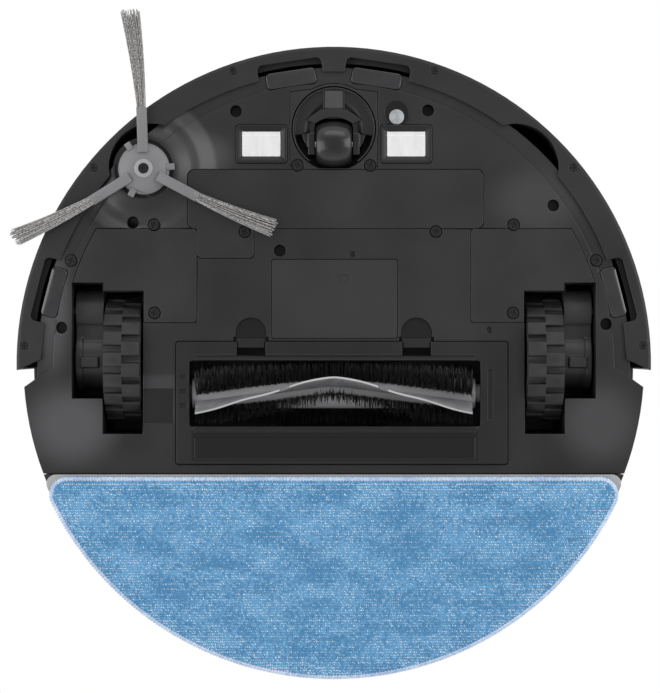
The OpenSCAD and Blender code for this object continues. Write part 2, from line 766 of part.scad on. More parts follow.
module side_brush_hub() color("#8f8f91") at_axis() side_brush_place() difference() {
    union() {
        rotate_extrude($fn = 64) polygon([[0, 4.6], [5.2, 4.6], [9, 5.2], [12.5, 6.4], [side_hub_r, 7.9],
            [side_hub_r - 1, 8.6], [6, 8.6], [6, 16], [0, 16]]);
        for (a = side_arms) rotate([0, 0, a]) {
            translate([9, -2.8, stem_z]) cube([25, 5.6, 4.2]);
            rotate([0, 0, 88]) translate([12.5, -1.8, 6]) cube([4.6, 3.6, 1.6]);
        }
    }
    translate([0, 0, 3.6]) cylinder(r = 3, h = 2);
    translate([0, 0, 5]) cylinder(r = 1.5, h = 8);
    // socket for the motor's shaft
    translate([-2, -2, 13.5]) cube([4, 4, 4]);
}

module side_brush_bristles() color("#77726c") at_axis() side_brush_place() for (a = side_arms)
    rotate([0, 0, a]) translate([34, -3.5, 1.6]) cube([side_reach - 34, 7, 3]);

module side_brush_screw() color("#4c4c50") at_axis() side_brush_place() difference() {
    union() {
        translate([0, 0, 4.8]) cylinder(r = 2.8, h = 0.79);
        translate([0, 0, 5.2]) cylinder(r = 1.5, h = 6);
    }
    for (a = [0, 90]) rotate([0, 0, a]) translate([-1.6, -0.4, 4]) cube([3.2, 0.8, 1.4]);
}

// The gearbox follows the front wall; its shaft points down into the hub
module side_brush_motor() color("#8f9297") at_axis() {
    difference() {
        union() {
            slab(floor_top + 3, floor_top + 10) intersection() {
                translate(side_hub) circle(15);
                circle(wall_r - shell_t - slip, $fn = 96);
            }
            side_brush_place() translate([0, 0, floor_top + 9]) cylinder(r = 9, h = 24);
        }
        side_brush_place() translate([0, 0, 13.6]) cylinder(r = 7, h = 4);
    }
    side_brush_place() translate([0, 0, 14.2]) cylinder(r = 1.9, h = 5);
}

// ---- main brush ----

module brush_core() color("#9a9a9c") at_axis() {
    rod_x(core_r, -brush_len / 2, brush_len / 2, brush_y, brush_z);
    rod_x(shaft_r, chamber[0] + 0.4, -brush_len / 2 + 1, brush_y, brush_z);
    rod_x(peg_r, brush_len / 2 - 1, chamber[2] + 8, brush_y, brush_z);
}

// Fins that stand on the core and sweep to a chevron at mid length
module brush_fins(count, first, thick, tip) {
    for (side = [-1, 1], i = [0:count - 1])
        translate([0, brush_y, brush_z]) rotate([0, side * 90, 0]) rotate([0, 0, side * (first + i * 360 / count)])
            linear_extrude(height = brush_len / 2 - 2, twist = -side * 50, slices = 8)
                translate([core_r, -thick / 2]) square([tip - core_r, thick]);
}

module brush_blades() color("#b4b4b6") at_axis() brush_fins(2, 90, 2, brush_r);

module brush_bristles() color("#151515") at_axis() brush_fins(2, 0, 4, brush_r - 0.3);

module brush_bearing() color(dark) at_axis() difference() {
    rod_x(7, chamber[0], -brush_len / 2 - slip, brush_y, brush_z);
    rod_x(shaft_r + run_fit, chamber[0] - 1, 0, brush_y, brush_z);
    // flat side over the brush guard
    slab(0, under + 1.8) half(0, 1);
}

module brush_gearbox() color("#2c2c2e") at_axis() difference() {
    union() {
        translate([chamber[2] + chamber_wall, brush_y - 14, floor_top]) cube([13, 30, 30]);
        rod_x(12, chamber[2] - 34, chamber[2] + 2.5, brush_y + 44, brush_z + 10);
    }
    rod_x(peg_r + run_fit, chamber[2], chamber[2] + 9, brush_y, brush_z);
    translate([0, bay_y - bay_wall, 0]) cube([big / 2, 100, 100]);
    translate([0, brush_y, floor_top]) cube([chamber[2] + chamber_wall, chamber[3] - brush_y + chamber_wall, chamber_roof]);
}

// Frame that keeps the brush in its chamber
module brush_guard() color(plastic) at_axis() difference() {
    union() {
        slab(guard_z, under + 1.6) rounded(guard_box, 1.5);
        slab(guard_z - 0.5, guard_z + 0.01) {
            for (y = [guard_hole[1] - 1.2, guard_hole[1] - 3.6, guard_hole[3] + 0.4, guard_hole[3] + 3])
                translate([guard_hole[0] + 3, y]) square([guard_hole[2] - guard_hole[0] - 6, 0.8]);
        }
    }
    slab(guard_z - 2, under + 2) rounded(guard_hole, 1);
    // lower step of the rear ramp
    slab(guard_z - 2, guard_z + 0.8) plain_box([guard_hole[0] + 3, guard_hole[3] + 6, guard_hole[2] - 3, guard_box[3] - 3]);
    // room for the latches
    for (s = [-1, 1]) slab(guard_z - 1, under + 2)
        translate([s * latch_x - latch_w / 2 - slip, guard_box[1] - 1]) square([latch_w + 2 * slip, 8.5]);
    // slots at both ends
    slab(guard_z - 1, guard_z + 1.2) {
        for (y = [6, 14, 22]) translate([guard_box[0] + 2, y]) square([4, 2.5]);
        translate([guard_hole[2] + 4, 3]) square([3, 28]);
    }
}

module left_latch() color("#1c1c1e") at_axis() latch(-1);
module right_latch() color("#1c1c1e") at_axis() latch(1);

module latch(side) {
    translate([side * latch_x, 0, 0]) {
        slab(guard_z + 1.2, under + 2) translate([-latch_w / 2, latch_y]) square([latch_w, 5]);
        slab(under + 1.8, floor_top - slip / 2) translate([-latch_w / 2 - 1, latch_y]) square([latch_w + 2, 3]);
    }
}

// ---- mop and tank ----

module mop_2d(r, y0, corner) {
    x = sqrt(r * r - y0 * y0);
    intersection() {
        circle(r, $fn = 96);
        half(y0, 1);
        translate([-x + corner * 0.35, y0]) square([2 * x - corner * 0.7, big]);
    }
}

// The tank is moulded as a wall, a floor and a cover, which are welded together
module water_tank() color("#343436") at_axis() difference() {
    slab(tank_z + shell_t, tank_top - shell_t) mop_2d(rear_r, bay_y + slip, 0);
    slab(tank_z, tank_top) mop_2d(rear_r - shell_t, bay_y + slip + shell_t, 4);
}

module tank_floor() color("#343436") at_axis()
    slab(tank_z, tank_z + shell_t) mop_2d(rear_r, bay_y + slip, 0);

module tank_cover() color("#343436") at_axis() difference() {
    slab(tank_top - shell_t, tank_top) mop_2d(rear_r, bay_y + slip, 0);
    translate([fill_at[0], fill_at[1], tank_top - shell_t - 1]) cylinder(r = fill_r, h = shell_t + 2);
}

module tank_plug() color("#2b5f8f") at_axis() translate([fill_at[0], fill_at[1], tank_top - shell_t])
    cylinder(r = fill_r, h = shell_t);

module mop_plate() color("#8d9196") at_axis() slab(pad_t, tank_z)
    mop_2d(rear_r - 0.6, bay_y + 0.4, corner_r);

module mop_pad() color("#7fb8e6") at_axis() slab(0, pad_t) mop_2d(pad_r, bay_y + 1.4, corner_r);

module dust_bin() color("#3c4043") at_axis() difference() {
    slab(split_h + 1.5, deck_under) rounded(bin_box, 4);
    slab(split_h + 3.5, deck_h) rounded(bin_box, 3, -2);
    // air inlet from the duct
    slab(inlet_z[0], inlet_z[1]) translate([-inlet_w / 2, bin_box[1] - 1]) square([inlet_w, 4]);
}

module dust_filter() color("#e6e6e2") at_axis()
    slab(split_h + 3.5, deck_under - 6) plain_box([bin_box[0] + 6, bin_box[3] - 16, bin_box[2] - 6, bin_box[3] - 4]);

// ---- inside ----

module fan_housing() color("#2c2c2e") at_axis() translate([0, fan_y, fan_z]) difference() {
    cylinder(r = fan_r, h = fan_h);
    translate([0, 0, 2]) cylinder(r = fan_r - 2, h = fan_h - 4);
    translate([0, 0, fan_h - 3]) cylinder(r = 12, h = 4);
}

module fan_impeller() color("#d8d8d6") at_axis() translate([0, fan_y, fan_z]) {
    translate([0, 0, 2 + slip]) cylinder(r = 12, h = 18);
    translate([0, 0, 20]) cylinder(r = fan_r - 4, h = 2);
    for (a = [0:40:320]) rotate([0, 0, a]) translate([8, -0.6, 21]) cube([fan_r - 12.5, 1.2, 8]);
}

module main_board() color("#1d5c3a") at_axis() difference() {
    slab(52, 53.6) plain_box([-68, -118, 68, -64]);
    for (x = [-30, 30]) translate([x, -90, 50]) cylinder(r = 1.6, h = 5);
}

module speaker() color("#202022") at_axis() translate([98, -100, floor_top]) difference() {
    cylinder(r = 15, h = 8);
    translate([0, 0, 6]) cylinder(r = 12, h = 4);
}

// ---- deck ----

module lid() color("#3f3f41") at_axis() difference() {
    union() {
        slab(deck_h - lid_t, deck_h) lid_2d();
        for (s = [-1, 1]) {
            rod_x(barrel_r, s * hinge_x - 15, s * hinge_x + 15, hinge_y, hinge_z);
            translate([s * hinge_x - 15, hinge_y, hinge_z]) cube([30, 2.6, 2]);
        }
    }
    for (s = [-1, 1]) {
        translate([s * hinge_x - 4.4, hinge_y - 8, hinge_z - 5]) cube([8.8, 9 + barrel_r, 9]);
        rod_x(hinge_pin_r + run_fit, s * hinge_x - 16, s * hinge_x + 16, hinge_y, hinge_z);
    }
    // finger notch at the rear edge
    translate([0, lid_box[3] + 8, deck_h - 3]) cylinder(r = 14, h = 6);
}

module lidar_cage() color("#2e2e30") at_axis() translate([0, turret_y, deck_h]) {
    difference() {
        cylinder(r = turret_r, h = 2.5);
        translate([0, 0, -1]) cylinder(r = 9, h = 5);
    }
    translate([0, 0, turret_h - 2.5]) cylinder(r = turret_r - 1.5, h = 2.5);
    for (a = [30:120:270]) rotate([0, 0, a]) translate([turret_r - 6, -3, 2]) cube([4, 6, turret_h - 4]);
}

module lidar_rotor() color("#141416") at_axis() translate([0, turret_y, deck_h]) {
    translate([0, 0, 3]) cylinder(r = turret_r - 8, h = turret_h - 6);
    translate([0, 0, -1]) cylinder(r = 9 - run_fit, h = 5);
}

module power_button() color("#57575a") at_axis() deck_button(-1);
module home_button() color("#57575a") at_axis() deck_button(1);

module deck_button(side) {
    translate([side * button_gap, button_y, deck_under - 0.5]) cylinder(r = button_r, h = shell_t + 0.5 + button_travel / 2);
}

base_housing();
left_wheel_well();
right_wheel_well();
brush_housing();
air_duct();
top_housing();
bumper();
bumper_window();
bumper_screws();
bumper_switches();
left_wheel_cover();
right_wheel_cover();
battery_cover();
battery_pack();
rating_label();
castor_socket();
castor_fork();
castor_axle();
castor_wheel();
left_contact_bezel();
right_contact_bezel();
left_charge_contact();
right_charge_contact();
cliff_windows();
floor_sensor_lens();
housing_screws();
left_arm();
left_arm_pin();
left_drive_motor();
left_wheel_hub();
left_tyre();
right_arm();
right_arm_pin();
right_drive_motor();
right_wheel_hub();
right_tyre();
suspension_springs();
side_brush_hub();
side_brush_bristles();
side_brush_screw();
side_brush_motor();
brush_core();
brush_blades();
brush_bristles();
brush_bearing();
brush_gearbox();
brush_guard();
left_latch();
right_latch();
water_tank();
tank_floor();
tank_cover();
tank_plug();
mop_plate();
mop_pad();
dust_bin();
dust_filter();
fan_housing();
fan_impeller();
main_board();
speaker();
lid();
lidar_cage();
lidar_rotor();
power_button();
home_button();
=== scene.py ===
import json
import math
import random

import bmesh
import bpy
from mathutils import Matrix, Vector


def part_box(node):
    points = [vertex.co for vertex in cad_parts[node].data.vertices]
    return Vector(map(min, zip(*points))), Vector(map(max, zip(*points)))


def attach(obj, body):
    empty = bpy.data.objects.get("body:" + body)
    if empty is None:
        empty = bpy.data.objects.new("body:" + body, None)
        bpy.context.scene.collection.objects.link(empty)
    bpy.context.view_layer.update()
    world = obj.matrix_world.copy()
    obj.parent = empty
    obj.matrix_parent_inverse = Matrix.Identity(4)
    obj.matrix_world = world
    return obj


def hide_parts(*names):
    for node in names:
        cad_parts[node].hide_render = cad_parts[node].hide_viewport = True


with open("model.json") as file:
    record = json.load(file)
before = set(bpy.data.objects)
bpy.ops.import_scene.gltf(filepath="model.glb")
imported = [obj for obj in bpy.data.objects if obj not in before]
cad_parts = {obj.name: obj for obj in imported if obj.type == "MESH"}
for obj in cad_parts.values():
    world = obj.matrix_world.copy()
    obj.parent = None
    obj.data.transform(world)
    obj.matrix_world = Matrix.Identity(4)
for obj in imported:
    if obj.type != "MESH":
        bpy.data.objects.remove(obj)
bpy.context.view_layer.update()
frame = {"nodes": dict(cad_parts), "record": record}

# The robot stands on the floor at z = 0 with its bumper towards -Y.
# Lengths are in metres, and a function or table that holds millimetres says so.
MM = 0.001

# Places that several pieces share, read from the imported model
JOINTS = {joint["name"]: joint for joint in frame["record"]["behaviour"]["joints"]}
HUB = Vector(JOINTS["side_brush_spin"]["pos_m"])
BRUSH = Vector(JOINTS["main_brush_spin"]["pos_m"])
CASTOR = Vector(JOINTS["castor_swivel"]["pos_m"])
WHEEL = Vector(JOINTS["left_wheel_spin"]["pos_m"])
PAD_LOW, PAD_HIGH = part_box("mop_pad")
# The round body's own axis lies in front of the main brush
AXIS_Y = BRUSH.y - 16.4 * MM
# How far the main brush's blades and tufts reach from its axis
TIP = 18.2 * MM
BODY_OF = {node: body for body, nodes in frame["record"]["behaviour"]["bodies"].items() for node in nodes}


def centre_mm(node):
    """Middle of a node's box on the floor plan, in mm."""
    low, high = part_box(node)
    return (low[0] + high[0]) / 2 / MM, (low[1] + high[1]) / 2 / MM


# ---------------------------------------------------------------- materials

def linear(hex_colour):
    """An sRGB hex colour as linear RGBA."""
    values = [int(hex_colour[i:i + 2], 16) / 255 for i in (1, 3, 5)]
    return [v / 12.92 if v <= 0.04045 else ((v + 0.055) / 1.055) ** 2.4 for v in values] + [1.0]


def add(tree, kind, links=(), **settings):
    """A node with its settings: plain names set the node, input names or numbers in links set or join sockets."""
    made = tree.nodes.new(kind)
    for name, value in settings.items():
        setattr(made, name, value)
    for socket, value in dict(links).items():
        if isinstance(value, bpy.types.NodeSocket):
            tree.links.new(value, made.inputs[socket])
        else:
            made.inputs[socket].default_value = value
    return made


def start_material(name, rough, ior=1.5, metal=0.0):
    """A material with its Principled shader, and the object's own coordinates in metres."""
    material = bpy.data.materials.new(name)
    material.use_nodes = True
    tree = material.node_tree
    shader = tree.nodes["Principled BSDF"]
    shader.inputs["Roughness"].default_value = rough
    shader.inputs["IOR"].default_value = ior
    shader.inputs["Metallic"].default_value = metal
    place = add(tree, "ShaderNodeTexCoord").outputs["Object"]
    return material, tree, shader, place


def mix_colours(tree, factor, low, high):
    """Low where the factor is zero and high where it is one."""
    return add(tree, "ShaderNodeMix", {0: factor, 6: low, 7: high}, data_type="RGBA").outputs[2]


def noise(tree, place, size, detail=2.0, rough=0.5):
    """Noise whose features are about size metres across."""
    return add(tree, "ShaderNodeTexNoise",
               {"Vector": place, "Scale": 1 / size, "Detail": detail, "Roughness": rough}).outputs["Fac"]


def spread(tree, value, low, high, to_low=0.0, to_high=1.0):
    """Stretches the values between low and high to another range, and holds them at its ends."""
    return add(tree, "ShaderNodeMapRange",
               {0: value, 1: low, 2: high, 3: to_low, 4: to_high}).outputs[0]


def spot(tree, place, x, y, reach_x, reach_y, strength):
    """A soft oval patch, in mm on the floor plan."""
    centre = add(tree, "ShaderNodeVectorMath", {0: place, 1: (x * MM, y * MM, 0)}, operation="SUBTRACT")
    scale = (1 / (reach_x * MM), 1 / (reach_y * MM), 0)
    scaled = add(tree, "ShaderNodeVectorMath", {0: centre.outputs[0], 1: scale}, operation="MULTIPLY")
    far = add(tree, "ShaderNodeVectorMath", {0: scaled.outputs[0]}, operation="LENGTH").outputs["Value"]
    return add(tree, "ShaderNodeMapRange", {0: far, 1: 0.25, 2: 1.0, 3: strength, 4: 0.0},
               interpolation_type="SMOOTHSTEP").outputs[0]


def block(tree, place, x0, y0, x1, y1):
    """One inside a rectangle on the floor plan, in mm, and zero outside."""
    soft = 0.4 * MM
    axes = add(tree, "ShaderNodeSeparateXYZ", {0: place}).outputs
    inside = None
    for axis, low, high in ((0, x0, x1), (1, y0, y1)):
        middle, half = (low + high) / 2 * MM, (high - low) / 2 * MM
        off = add(tree, "ShaderNodeMath", {0: axes[axis], 1: middle}, operation="SUBTRACT").outputs[0]
        size = add(tree, "ShaderNodeMath", {0: off}, operation="ABSOLUTE").outputs[0]
        mask = spread(tree, size, half - soft, half + soft, 1.0, 0.0)
        inside = mask if inside is None else add(
            tree, "ShaderNodeMath", {0: inside, 1: mask}, operation="MULTIPLY").outputs[0]
    return inside


def recolour(material, mask, colour, rough):
    """Mixes another colour and roughness into a material where the mask is one."""
    tree = material.node_tree
    shader = tree.nodes["Principled BSDF"]
    for socket, value in (("Base Color", linear(colour)), ("Roughness", rough)):
        before = shader.inputs[socket].links[0].from_socket
        if socket == "Roughness":
            after = add(tree, "ShaderNodeMix", {0: mask, 2: before, 3: value}).outputs[0]
        else:
            after = mix_colours(tree, mask, before, value)
        tree.links.new(after, shader.inputs[socket])


def moulded(name, colour, lighter, rough, grain=0.5 * MM, depth=0.12, soft=0.0, coat=0.0):
    """Injection-moulded plastic: spark-eroded grain, faint flow clouding, and a roughness that varies a little.

    The real grain is about 0.1 mm across. It is drawn several times coarser so that it shows.
    """
    material, tree, shader, place = start_material(name, rough, 1.49)
    cloud = noise(tree, place, 45 * MM, 3.0)
    speck = noise(tree, place, 1.3 * MM, 2.0)
    tint = spread(tree, cloud, 0.3, 0.7)
    base = mix_colours(tree, tint, linear(colour), linear(lighter))
    fleck = spread(tree, speck, 0.35, 0.75, 0.0, 0.35)
    tree.links.new(mix_colours(tree, fleck, base, linear(lighter)), shader.inputs["Base Color"])
    tree.links.new(spread(tree, cloud, 0.25, 0.75, rough - 0.05, rough + 0.06), shader.inputs["Roughness"])
    height = noise(tree, place, grain, 2.0, 0.6)
    bump = add(tree, "ShaderNodeBump", {"Height": height, "Strength": depth, "Distance": 0.05 * MM})
    if soft:
        rounded = add(tree, "ShaderNodeBevel", {"Radius": soft}, samples=4)
        tree.links.new(rounded.outputs[0], bump.inputs["Normal"])
    tree.links.new(bump.outputs[0], shader.inputs["Normal"])
    shader.inputs["Coat Weight"].default_value = coat
    shader.inputs["Coat Roughness"].default_value = 0.18
    return material


# Patches of the lower housing painted lighter as painted highlights where soft reflections fall, with a little
# lower roughness, as x, y, reach in x, reach in y, strength
PAINTED_HIGHLIGHTS = [
    (-146, 43, 34, 30, 1.0), (-156, -24, 13, 50, 0.8), (-74, -107, 24, 17, 0.7), (112, -82, 34, 26, 0.4),
    (148, 42, 30, 30, 0.6), (-94, -128, 14, 9, 0.6), (-128, -82, 12, 9, 0.6),
]


def underside_abs():
    """Black ABS of the lower housing: spark grain, patches of painted highlight, painted shade round the floor
    sensor, and a dish moulded round the side brush with a painted highlight in its hollow.
    """
    material = moulded("spark_grained_abs", "#1b1b1c", "#252526", 0.4, soft=0.35 * MM)
    tree = material.node_tree
    place = tree.nodes["Texture Coordinate"].outputs["Object"]
    # painted highlights: each patch is lighter in colour and a little glossier
    for patch in PAINTED_HIGHLIGHTS:
        recolour(material, spot(tree, place, *patch), "#4c4c4e", 0.36)
    recolour(material, block(tree, place, -106, 14.5, -89, 22.5), "#38383a", 0.4)
    recolour(material, block(tree, place, -106, 22.5, -89, 42), "#101011", 0.4)
    # painted shade: the recess round the floor sensor darkened, centred a little in front of its lens
    x, y = centre_mm("floor_sensor_lens")
    recolour(material, spot(tree, place, x, y - 1.2, 8.6, 8.6, 3.5), "#080809", 0.35)
    # a dish with a raised ring round the side brush, from one radius to the other
    dish_in, dish_out, dish_depth = 0.016, 0.042, 2.2 * MM
    bump = tree.nodes["Bump"]
    centre = add(tree, "ShaderNodeVectorMath", {0: place, 1: (HUB.x, HUB.y, 0)}, operation="SUBTRACT")
    flat = add(tree, "ShaderNodeVectorMath", {0: centre.outputs[0], 1: (1, 1, 0)}, operation="MULTIPLY")
    radius = add(tree, "ShaderNodeVectorMath", {0: flat.outputs[0]}, operation="LENGTH").outputs["Value"]
    ramp = spread(tree, radius, dish_in, dish_out)
    wave = add(tree, "ShaderNodeMath", {0: ramp, 1: 2 * math.pi}, operation="MULTIPLY").outputs[0]
    height = add(tree, "ShaderNodeMath", {0: wave}, operation="COSINE").outputs[0]
    dish = add(tree, "ShaderNodeBump", {"Height": height, "Strength": 1.0, "Distance": dish_depth})
    tree.links.new(tree.nodes["Bevel"].outputs[0], dish.inputs["Normal"])
    tree.links.new(dish.outputs[0], bump.inputs["Normal"])
    # painted highlight: the hollow of the dish is lighter in colour and glossier
    painted_dish_sheen = add(tree, "ShaderNodeMath", {0: height, 1: -0.5}, operation="MULTIPLY", use_clamp=True).outputs[0]
    recolour(material, painted_dish_sheen, "#3c3c3e", 0.22)
    return material


def guard_abs():
    """The brush guard: grained frame, with the ramp behind its opening darker in colour and smoother."""
    material = moulded("guard_abs", "#111112", "#19191a", 0.42, soft=0.3 * MM)
    tree = material.node_tree
    place = tree.nodes["Texture Coordinate"].outputs["Object"]
    recolour(material, block(tree, place, -79, 46, 80, 62.5), "#060607", 0.35)
    return material


def clear_film(name, colour, rough):
    """Polished infrared-dark polycarbonate: nearly black, with a sharp clear reflection."""
    material, tree, shader, place = start_material(name, rough, 1.58)
    smear = noise(tree, place, 8 * MM, 3.0)
    tree.links.new(spread(tree, smear, 0.3, 0.8, rough, rough + 0.12), shader.inputs["Roughness"])
    tree.links.new(mix_colours(tree, smear, linear(colour), linear("#26262a")), shader.inputs["Base Color"])
    shader.inputs["Coat Weight"].default_value = 1.0
    shader.inputs["Coat Roughness"].default_value = 0.05
    return material


def metal(name, colour, rough, brush=(0.4, 12, 12), depth=0.15, metallic=1.0):
    """Metal with fine drawn lines; brush gives the lines' size in mm along X, Y and Z, coarse enough to show."""
    material, tree, shader, place = start_material(name, rough, metal=metallic)
    stretch = add(tree, "ShaderNodeMapping", {"Vector": place, "Scale": [1 / (b * MM) for b in brush]})
    lines = add(tree, "ShaderNodeTexNoise",
                {"Vector": stretch.outputs[0], "Scale": 1.0, "Detail": 2.0}).outputs["Fac"]
    tree.links.new(spread(tree, lines, 0.3, 0.7, rough * 0.7, rough * 1.4), shader.inputs["Roughness"])
    shade = mix_colours(tree, spread(tree, lines, 0.35, 0.7), linear(colour), linear("#f2f2f2"))
    tree.links.new(mix_colours(tree, 0.25 * metallic, linear(colour), shade), shader.inputs["Base Color"])
    bump = add(tree, "ShaderNodeBump", {"Height": lines, "Strength": depth, "Distance": 0.02 * MM})
    tree.links.new(bump.outputs[0], shader.inputs["Normal"])
    return material


def from_axis(tree, place, y, z):
    """Distance from an axis along X."""
    centre = add(tree, "ShaderNodeVectorMath", {0: place, 1: (0, y, z)}, operation="SUBTRACT")
    flat = add(tree, "ShaderNodeVectorMath", {0: centre.outputs[0], 1: (0, 1, 1)}, operation="MULTIPLY")
    return add(tree, "ShaderNodeVectorMath", {0: flat.outputs[0]}, operation="LENGTH").outputs["Value"]


def rubber(name, colour, lighter, tread=0.0):
    """Moulded rubber: matt, lightened in patches by its dusty bloom, and darker inside the tread's radius."""
    material, tree, shader, place = start_material(name, 0.62, 1.52)
    bloom = noise(tree, place, 9 * MM, 4.0, 0.6)
    face = mix_colours(tree, spread(tree, bloom, 0.35, 0.7), linear(colour), linear(lighter))
    if tread:
        radius = from_axis(tree, place, WHEEL.y, WHEEL.z)
        worn = spread(tree, radius, tread - 0.5 * MM, tread)
        face = mix_colours(tree, worn, linear("#040404"), face)
    tree.links.new(face, shader.inputs["Base Color"])
    pores = noise(tree, place, 0.7 * MM, 3.0, 0.65)
    bump = add(tree, "ShaderNodeBump", {"Height": pores, "Strength": 0.25, "Distance": 0.08 * MM})
    rounded = add(tree, "ShaderNodeBevel", {"Radius": 0.4 * MM}, samples=4)
    tree.links.new(rounded.outputs[0], bump.inputs["Normal"])
    tree.links.new(bump.outputs[0], shader.inputs["Normal"])
    return material


def filament(name, colour, lighter, rough=0.45):
    """Extruded nylon: each filament a little lighter or darker than its neighbours."""
    material, tree, shader, place = start_material(name, rough, 1.53)
    strand = noise(tree, place, 0.9 * MM, 1.0)
    tree.links.new(mix_colours(tree, spread(tree, strand, 0.3, 0.7), linear(colour), linear(lighter)),
                   shader.inputs["Base Color"])
    return material


def silicone(name, colour, tip):
    """Translucent grey silicone, dusty in patches, with a worn paler edge at the blades' tips."""
    material, tree, shader, place = start_material(name, 0.38, 1.41)
    dust = noise(tree, place, 6 * MM, 4.0, 0.65)
    body = mix_colours(tree, spread(tree, dust, 0.35, 0.7), linear(colour), linear("#8e8e90"))
    radius = from_axis(tree, place, BRUSH.y, BRUSH.z)
    worn = spread(tree, radius, TIP - 0.4 * MM, TIP - 0.1 * MM)
    tree.links.new(mix_colours(tree, worn, body, linear(tip)),
                   shader.inputs["Base Color"])
    shader.inputs["Subsurface Weight"].default_value = 0.15
    shader.inputs["Subsurface Scale"].default_value = 1.5 * MM
    return material


def microfibre(name, colour, pale):
    """Microfibre yarn: lighter and darker loops, broad patches where the pile is pressed, and a fuzz.

    The real fibres are about 0.01 mm thick. The fuzz is drawn as coarse as it needs to show.
    """
    material, tree, shader, place = start_material(name, 0.9, 1.5)
    loop = noise(tree, place, 1.6 * MM, 2.0)
    patch = 26 * MM
    press = add(tree, "ShaderNodeMapping",
                {"Vector": place, "Scale": (1 / patch, 1.8 / patch, 1 / patch)}).outputs[0]
    broad = add(tree, "ShaderNodeTexNoise", {"Vector": press, "Scale": 1.0, "Detail": 3.0}).outputs["Fac"]
    both = add(tree, "ShaderNodeMath", {0: loop, 1: broad}, operation="ADD").outputs[0]
    tree.links.new(mix_colours(tree, spread(tree, both, 0.84, 1.16), linear(colour), linear(pale)),
                   shader.inputs["Base Color"])
    fuzz = noise(tree, place, 0.35 * MM, 2.0, 0.7)
    bump = add(tree, "ShaderNodeBump", {"Height": fuzz, "Strength": 0.35, "Distance": 0.12 * MM})
    tree.links.new(bump.outputs[0], shader.inputs["Normal"])
    shader.inputs["Sheen Weight"].default_value = 0.3
    shader.inputs["Sheen Roughness"].default_value = 0.4
    shader.inputs["Sheen Tint"].default_value = linear("#e4f0fa")
    return material


def frosted(name, colour):
    """Frosted polycarbonate lens: pale, softly glowing, slightly clouded."""
    material, tree, shader, place = start_material(name, 0.35, 1.58)
    haze = noise(tree, place, 3 * MM, 2.0)
    tree.links.new(mix_colours(tree, haze, linear(colour), linear("#c9ccd0")), shader.inputs["Base Color"])
    shader.inputs["Subsurface Weight"].default_value = 0.15
    shader.inputs["Subsurface Scale"].default_value = 1 * MM
    return material


FINISH = {
    "underside": underside_abs(),
    "guard": guard_abs(),
    "cover": moulded("cover_abs", "#1e1e1f", "#29292a", 0.4, soft=0.35 * MM),
    "bumper": moulded("bumper_abs", "#191919", "#232324", 0.47, grain=0.4 * MM, soft=0.5 * MM),
    "deck": moulded("deck_abs", "#1f1f21", "#29292b", 0.34, grain=0.3 * MM, depth=0.05, soft=0.5 * MM, coat=0.25),
    "black": moulded("black_abs", "#0f0f10", "#171718", 0.42, soft=0.3 * MM),
    "bezel": moulded("bezel_abs", "#131314", "#1b1b1c", 0.3, grain=0.3 * MM, depth=0.04, soft=0.6 * MM),
    "gloss": moulded("polished_abs", "#0c0c0d", "#111112", 0.16, grain=2 * MM, depth=0.02),
    "castor": moulded("castor_nylon", "#111112", "#1a1a1b", 0.3, grain=0.8 * MM, depth=0.06,
                      soft=0.5 * MM, coat=0.3),
    "arm": moulded("arm_abs", "#313132", "#3c3c3d", 0.38, soft=0.4 * MM),
    "grey": moulded("grey_abs", "#707072", "#7d7d7f", 0.42, grain=0.4 * MM, depth=0.08, soft=0.4 * MM),
    "ring": moulded("pale_grey_abs", "#8f8f91", "#9b9b9d", 0.4, grain=0.4 * MM, depth=0.08, soft=0.3 * MM),
    # the castor's band: painted lighter than the fork's nylon, a painted sheen
    "band": moulded("nylon_painted_sheen", "#3c3c3d", "#474748", 0.35, soft=0.3 * MM),
    "core": moulded("core_abs", "#868688", "#929294", 0.4, soft=0.3 * MM),
    "plate": moulded("plate_abs", "#9a9a9c", "#a5a5a7", 0.45, soft=0.4 * MM),
    "tank": moulded("tank_abs", "#1d1d1f", "#272729", 0.32, grain=0.3 * MM, depth=0.05, soft=0.5 * MM, coat=0.2),
    "bin": moulded("bin_abs", "#3a3f43", "#454b50", 0.3, soft=0.5 * MM),
    "button": moulded("button_abs", "#4b4b4e", "#5a5a5d", 0.35, soft=0.4 * MM),
    "label": moulded("label_film", "#222223", "#282829", 0.5, grain=0.9 * MM, depth=0.05),
    "paper": moulded("filter_paper", "#d9d8d0", "#e9e8e2", 0.85, grain=0.6 * MM, depth=0.4),
    "board": moulded("solder_mask", "#174d2f", "#1f6340", 0.3),
    "wrap": moulded("shrink_wrap", "#274f86", "#3163a3", 0.25, coat=0.3),
    "window": clear_film("infrared_window", "#060607", 0.12),
    "lens": frosted("frosted_lens", "#76787a"),
    "screw": metal("blackened_steel", "#060607", 0.45, (1.2, 1.2, 1.2), 0.1, 0.0),
    "steel": metal("ground_steel", "#b9bbbe", 0.25),
    "contact": metal("satin_nickel_plate", "#f4f4f4", 0.34, (2.5, 14, 14), 0.02, 0.35),
    "can": metal("drawn_can", "#a5a8ac", 0.35, (5, 0.4, 5)),
    "tyre": rubber("tyre_rubber", "#1b1b1c", "#2a2a2b", tread=WHEEL.z - 0.5 * MM),
    "plug": rubber("plug_rubber", "#24507a", "#2e6293"),
    "side_bristle": filament("grey_nylon", "#6f6d6e", "#c4c2c0"),
    "bristle": filament("black_nylon", "#0a0a0b", "#151516", 0.5),
    "blade": silicone("grey_silicone", "#77777a", "#b5b5b6"),
    "weave": microfibre("ground_weave", "#437da9", "#629bc6"),
    "terry": microfibre("terry_microfibre", "#6aa6d2", "#ecf5fa"),
    "pale_terry": microfibre("pale_terry_microfibre", "#cfe1ea", "#fbfdfb"),
    "binding": microfibre("overlock_thread", "#a9c2e2", "#d3e0f0"),
}

